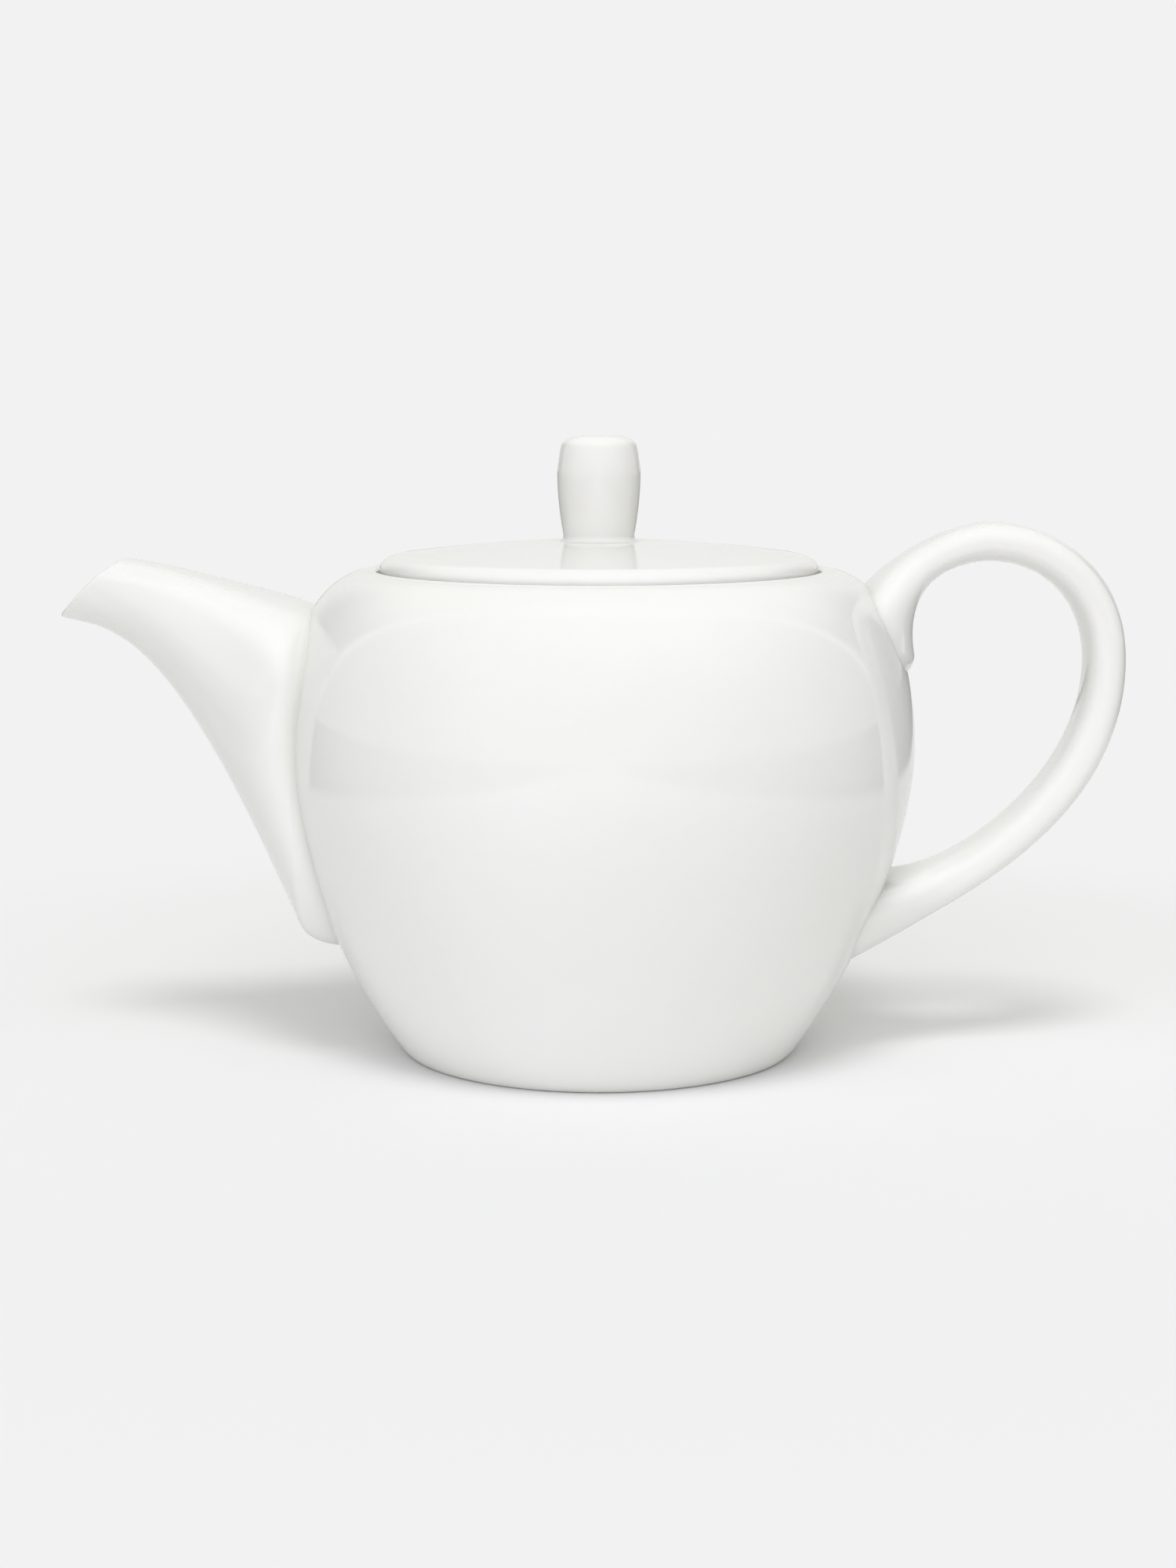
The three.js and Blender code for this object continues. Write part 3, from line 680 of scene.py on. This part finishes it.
# %% Surface of the handle
HANDLE_STARTS = np.array([0, 0.06, 0.3, 0.52, 0.94, 1])
HANDLE_WIDTH = 16 * mm
HANDLE_ROOT_WIDTH = 20 * mm
UPPER_SWELL_END = 0.3
LOWER_SWELL_START = 0.55
HANDLE_SQUARENESS = 2.6
UPPER_SPREAD = 11 * mm
LOWER_SPREAD = 12.5 * mm
HANDLE_SPREAD_HEIGHT = 16 * mm
HANDLE_SPREAD_POWER = 2.2
HANDLE_COLUMNS = 128
HANDLE_ROWS = 420
END_CROWDING = 0.88
UPPER_FREE = 0.25
LOWER_FREE = 0.7


def handle_point(u, v):
    """A place on the handle: v runs along the loop from the upper root (0) to the lower one (1), u goes
    around the oval section, whose width swells towards both roots."""
    u, v = np.broadcast_arrays(u, v)
    piece = np.clip(np.searchsorted(HANDLE_STARTS, v, side="right") - 1, 0, 4)
    share = (v - HANDLE_STARTS[piece]) / (HANDLE_STARTS[piece + 1] - HANDLE_STARTS[piece])
    outer, inner = along(outer_rail[piece], share), along(inner_rail[piece], share)
    across, upward = rounded_turn(u, HANDLE_SQUARENESS)
    middle = (outer + inner) / 2 + (outer - inner) * 0.5 * upward[..., None]
    swell = 1 - smooth(v, 0, UPPER_SWELL_END) + smooth(v, LOWER_SWELL_START, 1)
    half_width = (HANDLE_WIDTH + (HANDLE_ROOT_WIDTH - HANDLE_WIDTH) * swell) / 2
    return np.stack([middle[..., 0], half_width * across, middle[..., 1]], -1)


def handle_grid():
    """Rows from one root to the other, closer together near the pot."""
    u = np.arange(HANDLE_COLUMNS) / HANDLE_COLUMNS
    start = meeting(lambda v: handle_point(u, v), UPPER_FREE, 0, 0.0, HANDLE_COLUMNS)
    end = meeting(lambda v: handle_point(u, v), LOWER_FREE, 1, 0.0, HANDLE_COLUMNS)
    share = np.linspace(0, 1, HANDLE_ROWS)[:, None]
    eased = share - END_CROWDING * np.sin(2 * np.pi * share) / (2 * np.pi)
    points = handle_point(u, start + (end - start) * eased)
    amount = UPPER_SPREAD + (LOWER_SPREAD - UPPER_SPREAD) * share
    return spread(points, np.cos(2 * np.pi * u), amount, HANDLE_SPREAD_HEIGHT, HANDLE_SPREAD_POWER)


# %% Handle
handle_rows = handle_grid()
handle = surface("handle_loop", handle_rows)


# %% [markdown]
# ## The lid
# The lid is turned as well. Its dome is nearly flat and ends in a soft round edge, which stands in the
# seat with a thin dark gap around it. Underneath, a flange drops into the mouth and keeps the lid
# from sliding off when the pot is tipped. A small vent lets the steam out.

# %% Profile of the lid
LID_EDGE_HEIGHT = 5 * mm
LID_DOME = LID_TOP - SEAT_HEIGHT - LID_EDGE_HEIGHT
LID_THICKNESS = 3.4 * mm
LID_EDGE_ROUND = 3.6 * mm
LID_EDGE_MIDDLE = 2.2 * mm
FLANGE_OUTER = MOUTH_RADIUS - 0.8 * mm
FLANGE_THICKNESS = 2.6 * mm
FLANGE_CORNER = 1.2 * mm
CEILING_PULL = 14 * mm
EDGE_UNDER_PULL = 1.4 * mm
EDGE_OVER_PULL = LID_EDGE_HEIGHT / 3.4
EDGE_TOP_PULL = LID_EDGE_ROUND * 0.45
KNOB_ROOT = 9.2 * mm
LID_EDGE_TOP = SEAT_HEIGHT + LID_EDGE_HEIGHT


def lid_profile():
    """Half a section from the axis underneath, round the flange and the edge, and over the dome."""
    edge_radius = LID_RADIUS - LID_EDGE_ROUND
    edge_top = (edge_radius, LID_EDGE_TOP)
    dome_slope = math.degrees(math.atan2(2 * LID_DOME, edge_radius))
    flange_inner = FLANGE_OUTER - FLANGE_THICKNESS
    ceiling_edge = LID_EDGE_TOP - LID_THICKNESS
    equator = (LID_RADIUS, SEAT_HEIGHT + LID_EDGE_MIDDLE)
    under = (LID_RADIUS - LID_EDGE_HEIGHT / 2, SEAT_HEIGHT)
    ceiling = (POLE_RADIUS, LID_TOP - LID_THICKNESS)
    ceiling_rim = (flange_inner - 2 * mm, ceiling_edge)
    under_curve = stretch(ceiling, 0, CEILING_PULL, ceiling_rim, -dome_slope, CEILING_PULL)
    half = FLANGE_THICKNESS / 2
    angle = np.radians(np.linspace(180, 360, 14))
    flange_middle = np.array([FLANGE_OUTER - half, LID_FOOT + half])
    flange_end = flange_middle + half * np.stack([np.cos(angle), np.sin(angle)], -1)
    edge_under = stretch(under, 0, EDGE_UNDER_PULL, equator, 90, EDGE_UNDER_PULL)
    edge_over = stretch(equator, 90, EDGE_OVER_PULL, edge_top, 180 - dome_slope, EDGE_TOP_PULL)
    dome_end = (KNOB_ROOT * 0.5, LID_TOP)
    dome = stretch(edge_top, 180 - dome_slope, edge_radius / 3, dome_end, 180, edge_radius / 3)
    return np.vstack([
        drawn(under_curve, 30),
        corner(under_curve[3], (flange_inner, ceiling_edge - 0.4 * mm), flange_end[0], FLANGE_CORNER),
        flange_end,
        corner(flange_end[-1], (FLANGE_OUTER, SEAT_HEIGHT + 0.05 * mm), under, GLAZE_EDGE),
        drawn(edge_under, 16),
        drawn(edge_over, 24)[1:],
        drawn(dome, 90)[1:],
    ])


# %% Lid
LID_COLUMNS = 320
VENT_DIAMETER = 3 * mm
VENT_DISTANCE = 19 * mm
lid = surface("lid_dome", turned(lid_profile(), LID_COLUMNS))
vent_points, vent_faces = rod(6 * LID_THICKNESS, VENT_DIAMETER / 2, HOLE_SIDES)
pierce(lid, [(vent_points + np.array([0, VENT_DISTANCE, LID_TOP]), vent_faces)])


# %% [markdown]
# ## The knob
# The knob is a small barrel, a little wider above its middle, with a soft edge on top and a low spread
# root where it is stuck to the lid. The glaze fills that corner, so the profile runs out flat.

# %% Knob
KNOB_COLUMNS = 160
KNOB_BELLY_HEIGHT = 14.6 * mm
WAIST_RADIUS = 8 * mm
KNOB_EDGE_RADIUS = 8.5 * mm
KNOB_EDGE = 2.2 * mm
ROOT_HEIGHT = 1.5 * mm
ROOT_SLOPE = 172
WAIST_SLOPE = 80
EDGE_SLOPE = 103


def knob_profile():
    """Half a section from under the root up the side and over the top."""
    waist = (WAIST_RADIUS, LID_TOP + ROOT_HEIGHT)
    belly_of_knob = (KNOB_RADIUS, LID_TOP + KNOB_BELLY_HEIGHT)
    edge = (KNOB_EDGE_RADIUS, KNOB_TOP - KNOB_EDGE)
    top_edge = (KNOB_EDGE_RADIUS - 2 * KNOB_EDGE, KNOB_TOP)
    root = stretch((KNOB_ROOT, LID_TOP - 0.05 * mm), ROOT_SLOPE, 0.5 * mm, waist, WAIST_SLOPE, 0.9 * mm)
    swell = stretch(waist, WAIST_SLOPE, 4.7 * mm, belly_of_knob, 90, 4 * mm)
    taper = stretch(belly_of_knob, 90, 2.4 * mm, edge, EDGE_SLOPE, 1.9 * mm)
    round_over = stretch(edge, EDGE_SLOPE, 1.3 * mm, top_edge, 180, 1.9 * mm)
    return np.vstack([
        [(KNOB_ROOT * 0.6, LID_TOP - SINK)],
        drawn(root, 14),
        drawn(swell, 50)[1:],
        drawn(taper, 26)[1:],
        drawn(round_over, 20)[1:],
        [(KNOB_EDGE_RADIUS * 0.25, KNOB_TOP)],
    ])


knob = surface("knob_barrel", turned(knob_profile(), KNOB_COLUMNS))


# %% [markdown]
# ## What rides on what
# Each new surface stands for one piece of the frame, so that piece is hidden and this one takes its
# place on the same moving body. The lid and the knob lift off together.

# %% Bodies
for piece, node, carrier in (
    (body, "pot_body", "pot"),
    (spout, "spout", "pot"),
    (handle, "handle", "pot"),
    (lid, "lid", "cover"),
    (knob, "knob", "cover"),
):
    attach(piece, carrier)
    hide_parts(node)


# %% [markdown]
# ## Where the glaze gathers, where shade is painted, and where it is wiped off
# A dipped pot is left to drain, and the wet glaze runs into every inside corner: round the roots of
# the spout, the handle and the knob, into the seat of the lid, down to the foot. Fired, it is thicker
# and a little darker there. That darker colour is also painted shade, for the shade that falls into
# those corners. The ground foot and the band on which the lid rests are wiped clean, or they would
# stick in the kiln. Both are stored on the points as masks from 0 to 1, found from the distance to
# those corners, so they follow the shape whatever its size.

# %% Masks
# How far from a corner the gathered glaze and the painted shade reach.
POOL_AND_SHADE_WIDTH = 1.5 * mm
WIPED = 0.3 * mm


def filled(line, between=6):
    """A closed line of points, with more points set evenly between each two of them."""
    share = np.arange(between)[:, None] / between
    step = np.roll(line, -1, axis=0) - line
    return (line[:, None] + step[:, None] * share).reshape(-1, 3)


root_lines = np.vstack([filled(spout_rows[OUTER_ROWS - 1]), filled(handle_rows[0]), filled(handle_rows[-1])])
root_tree = KDTree(len(root_lines))
for number, point in enumerate(root_lines):
    root_tree.insert(point, number)
root_tree.balance()


def to_roots(points):
    """Distance of each point to the nearest line where the spout or the handle meets the pot."""
    return np.array([root_tree.find(point)[2] for point in points])


def to_ring(points, radius, height):
    """Distance of each point to a level circle round the upright axis."""
    return np.hypot(np.hypot(points[:, 0], points[:, 1]) - radius, points[:, 2] - height)


def mark(piece, name, rule):
    """Stores a mask on a piece: the rule's value, from 0 to 1, for each of its points."""
    points = np.empty(len(piece.data.vertices) * 3)
    piece.data.vertices.foreach_get("co", points)
    values = rule(points.reshape(-1, 3))
    piece.data.attributes.new(name, "FLOAT", "POINT").data.foreach_set("value", values.astype(np.float32))
    print(piece.name, name, "mean", round(float(values.mean()), 4))


def pooled_and_shaded(*distances):
    """Gathered glaze and painted shade near corners: exp(-d / width) for the nearest corner's distance d."""
    return np.exp(-np.minimum.reduce(distances) / POOL_AND_SHADE_WIDTH)


def seat(points):
    """Distance to the corner between the lip and the seat of the lid."""
    return to_ring(points, LIP_INNER, SEAT_HEIGHT)


def wiped_band(points):
    """The band on the lid's underside that rests on the seat."""
    low = smooth(points[:, 2], SEAT_HEIGHT + WIPED, SEAT_HEIGHT + WIPED / 2)
    return low * (np.hypot(points[:, 0], points[:, 1]) > FLANGE_OUTER + WIPED)


# The pool mask holds both the glaze gathered in corners and the painted shade there.
mark(body, "pool_and_shade", lambda p: pooled_and_shaded(to_roots(p), seat(p), to_ring(p, FOOT_RADIUS, 0)))
for piece in (spout, handle):
    mark(piece, "pool_and_shade", lambda p: pooled_and_shaded(to_roots(p)))
mark(lid, "pool_and_shade", lambda p: pooled_and_shaded(to_ring(p, KNOB_ROOT, LID_TOP), to_ring(p, FLANGE_OUTER, SEAT_HEIGHT)))
mark(knob, "pool_and_shade", lambda p: pooled_and_shaded(to_ring(p, KNOB_ROOT, LID_TOP)))
mark(body, "bare", lambda p: smooth(p[:, 2], WIPED, WIPED / 2))
mark(lid, "bare", wiped_band)


# %% [markdown]
# ## Building with nodes
# Materials and light are networks of nodes. Short helpers keep them readable: one makes a node and
# fills its inputs in order, and the others give a sum, a smooth step, two mixed colours, and noise.

# %% Node helpers
def make_node(tree, kind, *values, operation=None, **settings):
    """A new node in a tree. Values go to its inputs in order: a socket is linked, a number is set."""
    made = tree.nodes.new(kind)
    if operation:
        made.operation = operation
    for name, value in settings.items():
        setattr(made, name, value)
    for place, value in enumerate(values):
        if isinstance(value, bpy.types.NodeSocket):
            tree.links.new(value, made.inputs[place])
        elif value is not None:
            made.inputs[place].default_value = value
    return made


def calc(tree, operation, *values):
    """The result of a Math node."""
    return make_node(tree, "ShaderNodeMath", *values, operation=operation).outputs[0]


def ease(tree, value, low, high, start=0.0, end=1.0):
    """A smooth step from start, where the value is low, to end, where it is high."""
    step = make_node(tree, "ShaderNodeMapRange", value, low, high, start, end)
    step.interpolation_type = "SMOOTHSTEP"
    return step.outputs[0]


def mix(tree, share, first, second):
    """Two colours mixed by a share from 0 to 1. The five inputs between serve other kinds of value."""
    between = [None] * 5
    return make_node(tree, "ShaderNodeMix", share, *between, first, second, data_type="RGBA").outputs[2]


def noise(tree, place, scale, detail):
    """Noise from 0 to 1 with so many features a metre."""
    return make_node(tree, "ShaderNodeTexNoise", place, None, scale, detail).outputs["Fac"]


# %% [markdown]
# ## Glazed china
# Bone china is a dense white body that lets a little light in, under a clear hard glaze. So the
# shader scatters light just below the surface, and it has one sharp reflection at the glaze's own
# index. Fired glaze is never optically flat: it stands in long, very shallow waves with a fine skin
# like orange peel on them. Its white drifts a little from place to place. Where it was wiped off, the
# bare body shows: matt, warmer and grainy.

# %% Glaze
CHINA = (0.853, 0.852, 0.828, 1)
CHINA_DRIFT = (0.838, 0.835, 0.8, 1)
# Darker greenish grey in corners: partly the real thicker glaze gathered there, partly painted shade for the
# shade that falls into them.
GLAZE_POOL_AND_CREASE_SHADE = (0.76, 0.755, 0.69, 1)
POOL_AND_SHADE_SHARE = 0.7
BISQUE = (0.74, 0.72, 0.67, 1)
BISQUE_DARK = (0.6, 0.575, 0.52, 1)
GLAZE_ROUGHNESS = 0.012
GLAZE_DULLER = 0.01
BARE_ROUGHNESS = 0.7
GLAZE_INDEX = 1.52
SCATTER_SHARE = 0.25
SCATTER_REACH = (1.0, 0.85, 0.7)
SCATTER = 2.5 * mm
WAVE_DEPTH = 0.03 * mm
WAVE_SCALE = 28
PEEL_DEPTH = 0.0006 * mm
PEEL_SCALE = 800
DRIFT_SCALE = 17
DRIFT_RANGE = (0.35, 0.65)
GRAIN_DEPTH = 0.02 * mm
GRAIN_SCALE = 2600
GRAIN_RANGE = (0.4, 0.7)


def glaze_skin():
    """A node group with the skin of fired glaze, from Object coordinates. Height is in metres: long
    waves plus peel. Drift and Grain run from 0 to 1: slow changes of tone, and the grains of clay."""
    group = bpy.data.node_groups.new("glaze_skin", "ShaderNodeTree")
    for name in ("Wave Depth", "Peel Depth"):
        group.interface.new_socket(name, in_out="INPUT", socket_type="NodeSocketFloat")
    for name in ("Height", "Drift", "Grain"):
        group.interface.new_socket(name, in_out="OUTPUT", socket_type="NodeSocketFloat")
    depths = make_node(group, "NodeGroupInput").outputs
    leave = make_node(group, "NodeGroupOutput")
    place = make_node(group, "ShaderNodeTexCoord").outputs["Object"]
    waves = calc(group, "MULTIPLY", noise(group, place, WAVE_SCALE, 1), depths["Wave Depth"])
    height = calc(group, "MULTIPLY_ADD", noise(group, place, PEEL_SCALE, 1), depths["Peel Depth"], waves)
    group.links.new(height, leave.inputs["Height"])
    group.links.new(ease(group, noise(group, place, DRIFT_SCALE, 3), *DRIFT_RANGE), leave.inputs["Drift"])
    group.links.new(noise(group, place, GRAIN_SCALE, 3), leave.inputs["Grain"])
    return group


skin = glaze_skin()


def china(name):
    """Glazed bone china, with the body bare where the mask says so."""
    material = bpy.data.materials.new(name)
    material.use_nodes = True
    tree = material.node_tree
    shader = tree.nodes["Principled BSDF"]
    shader.inputs["IOR"].default_value = GLAZE_INDEX
    shader.inputs["Subsurface Weight"].default_value = SCATTER_SHARE
    shader.inputs["Subsurface Radius"].default_value = SCATTER_REACH
    shader.inputs["Subsurface Scale"].default_value = SCATTER
    # The pool mask marks the corners: gathered glaze and painted shade.
    pool_and_shade = make_node(tree, "ShaderNodeAttribute", attribute_name="pool_and_shade").outputs["Fac"]
    bare = make_node(tree, "ShaderNodeAttribute", attribute_name="bare").outputs["Fac"]
    surface_skin = make_node(tree, "ShaderNodeGroup", node_tree=skin)
    surface_skin.inputs["Wave Depth"].default_value = WAVE_DEPTH
    surface_skin.inputs["Peel Depth"].default_value = PEEL_DEPTH
    height, drift, grain = surface_skin.outputs
    white = mix(tree, drift, CHINA, CHINA_DRIFT)
    # Corners take the darker colour: the gathered glaze and the painted shade in them.
    glazed_colour = mix(tree, calc(tree, "MULTIPLY", pool_and_shade, POOL_AND_SHADE_SHARE), white, GLAZE_POOL_AND_CREASE_SHADE)
    bare_colour = mix(tree, ease(tree, grain, *GRAIN_RANGE), BISQUE, BISQUE_DARK)
    colour = mix(tree, bare, glazed_colour, bare_colour)
    rough_glaze = calc(tree, "MULTIPLY_ADD", drift, GLAZE_DULLER, GLAZE_ROUGHNESS)
    roughness = calc(tree, "MULTIPLY_ADD", bare, BARE_ROUGHNESS, rough_glaze)
    grains = calc(tree, "MULTIPLY", calc(tree, "MULTIPLY", grain, bare), GRAIN_DEPTH)
    relief = calc(tree, "ADD", height, grains)
    bump = make_node(tree, "ShaderNodeBump")
    bump.inputs["Distance"].default_value = 1
    tree.links.new(relief, bump.inputs["Height"])
    tree.links.new(bump.outputs["Normal"], shader.inputs["Normal"])
    tree.links.new(colour, shader.inputs["Base Color"])
    tree.links.new(roughness, shader.inputs["Roughness"])
    return material


glazed = china("glazed_china")
for piece in (body, spout, handle, lid, knob):
    piece.data.materials.clear()
    piece.data.materials.append(glazed)
print("glazed_china has", len(glazed.node_tree.nodes), "nodes")


# %% [markdown]
# ## The studio
# White china on white paper is held by shadows and by what the glaze reflects. The soft light is a
# sum of broad panels, four in front and two behind, and the even light of the room. What the glaze
# mirrors is the tent of white cloth round them, whose edge draws the long pale outline on the belly.
# To the left and right the sheet of paper ends on a darker floor, which shades the sides of the pot.
# Only the camera sees the even backdrop. One soft sun, high in front, lights the tops and the paper.

# %% Floor and backdrop
PAPER = (0.888, 0.888, 0.888, 1)
FLOOR_HALF = 6.0
FADE_START = 1.0
FADE_END = 1.5
FADE_SCALE = (1 / (230 * mm), 1 / (190 * mm), 1)
SHEET_HALF = 260 * mm
SHEET_SOFT = 80 * mm
ROOM_FLOOR = (0.27, 0.265, 0.25, 1)


def floor_material():
    """Paper near the pot, and an even glow of the same colour further out for camera and glossy rays.
    To the left and right the sheet ends on a darker floor, which only light and the glaze find."""
    material = bpy.data.materials.new("paper")
    material.use_nodes = True
    tree = material.node_tree
    tree.nodes.clear()
    place = make_node(tree, "ShaderNodeTexCoord").outputs["Object"]
    scaled = make_node(tree, "ShaderNodeVectorMath", place, FADE_SCALE, operation="MULTIPLY").outputs[0]
    length = make_node(tree, "ShaderNodeVectorMath", scaled, operation="LENGTH").outputs["Value"]
    path = make_node(tree, "ShaderNodeLightPath")
    seen = calc(tree, "MAXIMUM", path.outputs["Is Camera Ray"], path.outputs["Is Glossy Ray"])
    share = calc(tree, "MULTIPLY", ease(tree, length, FADE_START, FADE_END), seen)
    across = calc(tree, "ABSOLUTE", make_node(tree, "ShaderNodeSeparateXYZ", place).outputs["X"])
    beside = ease(tree, across, SHEET_HALF, SHEET_HALF + SHEET_SOFT)
    unseen = calc(tree, "SUBTRACT", 1.0, path.outputs["Is Camera Ray"])
    colour = mix(tree, calc(tree, "MULTIPLY", beside, unseen), PAPER, ROOM_FLOOR)
    paper = make_node(tree, "ShaderNodeBsdfDiffuse", colour).outputs[0]
    glow = make_node(tree, "ShaderNodeEmission", colour).outputs[0]
    mixed = make_node(tree, "ShaderNodeMixShader", share, paper, glow).outputs[0]
    tree.links.new(mixed, make_node(tree, "ShaderNodeOutputMaterial").inputs["Surface"])
    return material


floor_mesh = bpy.data.meshes.new("floor")
floor_corners = [(FLOOR_HALF * x, FLOOR_HALF * y, 0) for x, y in ((-1, -1), (1, -1), (1, 1), (-1, 1))]
floor_mesh.from_pydata(floor_corners, [], [(0, 1, 2, 3)])
floor_mesh.materials.append(floor_material())
floor = placed("floor", floor_mesh)
print("sheet of paper", 2 * SHEET_HALF / mm, "mm wide")


# %% World
FRONT_PANELS = ((0, 8, 8, 0.94), (-30, 8, 8, 0.9), (0, 45, 6, 0.74), (60, 45, 6, 0.22))
BACK_PANELS = ((180, 45, 6, 0.53), (120, 45, 6, 0.1))
FRONT_COLOUR = (0.975, 0.985, 1.085, 1)
BACK_COLOUR = (1.015, 1.01, 0.955, 1)
ROOM = 0.37
TENT_EDGE = 0.583
TENT_EDGE_LEAN = 0.657
TENT_EDGE_SOFT = 0.015
TENT_SEAM = 0.6
TENT_SEAM_WIDTH = 0.07
TENT_FRONT = 0.74
TENT_FRONT_TOP = 1.08
TENT_FRONT_RISE = (0.2, 0.9)
TENT_BACK_LOW = 0.3
TENT_BACK_HIGH = 1.2
TENT_BACK_RISE = (0.35, 0.75)
TENT_SWEEP = 0.86
TENT_SWEEP_SIDE = (math.radians(18), math.radians(44))
TENT_COLOUR = (1.0, 1.0, 0.985, 1)


def soft_panel(tree, direction, azimuth, elevation, sharpness, level):
    """A broad panel's brightness: level times the cosine of the angle from its middle, to a power. The
    azimuth runs from the front, where the camera is, with the handle's side positive."""
    a, e = math.radians(azimuth), math.radians(elevation)
    middle = (math.sin(a) * math.cos(e), -math.cos(a) * math.cos(e), math.sin(e))
    dot = make_node(tree, "ShaderNodeVectorMath", direction, middle, operation="DOT_PRODUCT")
    cosine = calc(tree, "MAXIMUM", dot.outputs["Value"], 0.0)
    return calc(tree, "MULTIPLY", calc(tree, "POWER", cosine, sharpness), level)


def mirrored_tent(tree, direction):
    """The tent as the glaze mirrors it. Its front, pale and palest at the top, ends in a seam that leans
    forward over the pot: y = edge - lean * z. Behind the seam the room is dark low down at the sides,
    light above, and bright where the sweep of paper stands behind the pot."""
    x, y, z = make_node(tree, "ShaderNodeSeparateXYZ", direction).outputs
    before = calc(tree, "SUBTRACT", calc(tree, "MULTIPLY_ADD", z, -TENT_EDGE_LEAN, TENT_EDGE), y)
    front = ease(tree, z, *TENT_FRONT_RISE, TENT_FRONT, TENT_FRONT_TOP)
    side = calc(tree, "ABSOLUTE", calc(tree, "ARCTAN2", x, y))
    low = ease(tree, side, *TENT_SWEEP_SIDE, TENT_SWEEP, TENT_BACK_LOW)
    high = ease(tree, z, *TENT_BACK_RISE)
    back = calc(tree, "MULTIPLY_ADD", high, calc(tree, "SUBTRACT", TENT_BACK_HIGH, low), low)
    inside = ease(tree, before, -TENT_EDGE_SOFT, TENT_EDGE_SOFT)
    level = calc(tree, "MULTIPLY_ADD", inside, calc(tree, "SUBTRACT", front, back), back)
    seam = ease(tree, calc(tree, "ABSOLUTE", before), TENT_SEAM_WIDTH, 0.0, 0.0, TENT_SEAM)
    return calc(tree, "ADD", level, seam)


def panels(tree, direction, group, colour, room):
    """The light of some panels and of the room, in one colour."""
    level = room
    for panel in group:
        level = calc(tree, "ADD", soft_panel(tree, direction, *panel), level)
    return make_node(tree, "ShaderNodeBackground", colour, level).outputs[0]


def studio_world():
    """The backdrop's colour for the camera, the tent for mirrored rays, the panels for all others."""
    world = bpy.data.worlds.new("studio")
    bpy.context.scene.world = world
    world.use_nodes = True
    tree = world.node_tree
    tree.nodes.clear()
    direction = make_node(tree, "ShaderNodeTexCoord").outputs["Generated"]
    path = make_node(tree, "ShaderNodeLightPath")
    front = panels(tree, direction, FRONT_PANELS, FRONT_COLOUR, 0.0)
    back = panels(tree, direction, BACK_PANELS, BACK_COLOUR, ROOM)
    soft = make_node(tree, "ShaderNodeAddShader", front, back).outputs[0]
    tent = make_node(tree, "ShaderNodeBackground", TENT_COLOUR, mirrored_tent(tree, direction)).outputs[0]
    lit = make_node(tree, "ShaderNodeMixShader", path.outputs["Is Glossy Ray"], soft, tent).outputs[0]
    backdrop = make_node(tree, "ShaderNodeBackground", PAPER, 1.0).outputs[0]
    seen = calc(tree, "MAXIMUM", path.outputs["Is Camera Ray"], path.outputs["Is Transmission Ray"])
    mixed = make_node(tree, "ShaderNodeMixShader", seen, lit, backdrop).outputs[0]
    tree.links.new(mixed, make_node(tree, "ShaderNodeOutputWorld").inputs["Surface"])


studio_world()
print("the studio's world has", len(bpy.context.scene.world.node_tree.nodes), "nodes")


# %% Sun
SUN_HEIGHT = 65
SUN_SIZE = 18
SUN_LEVEL = 0.28

sun_data = bpy.data.lights.new("soft_sun", "SUN")
sun_data.angle = math.radians(SUN_SIZE)
sun_data.energy = SUN_LEVEL * math.pi
sun = placed("soft_sun", sun_data)
sun.rotation_euler = (math.radians(90 - SUN_HEIGHT), 0, 0)
sun.visible_glossy = False
print("the sun adds", round(SUN_LEVEL * math.sin(math.radians(SUN_HEIGHT)), 2), "to the level on the floor")

bpy.context.scene.view_settings.view_transform = "Standard"
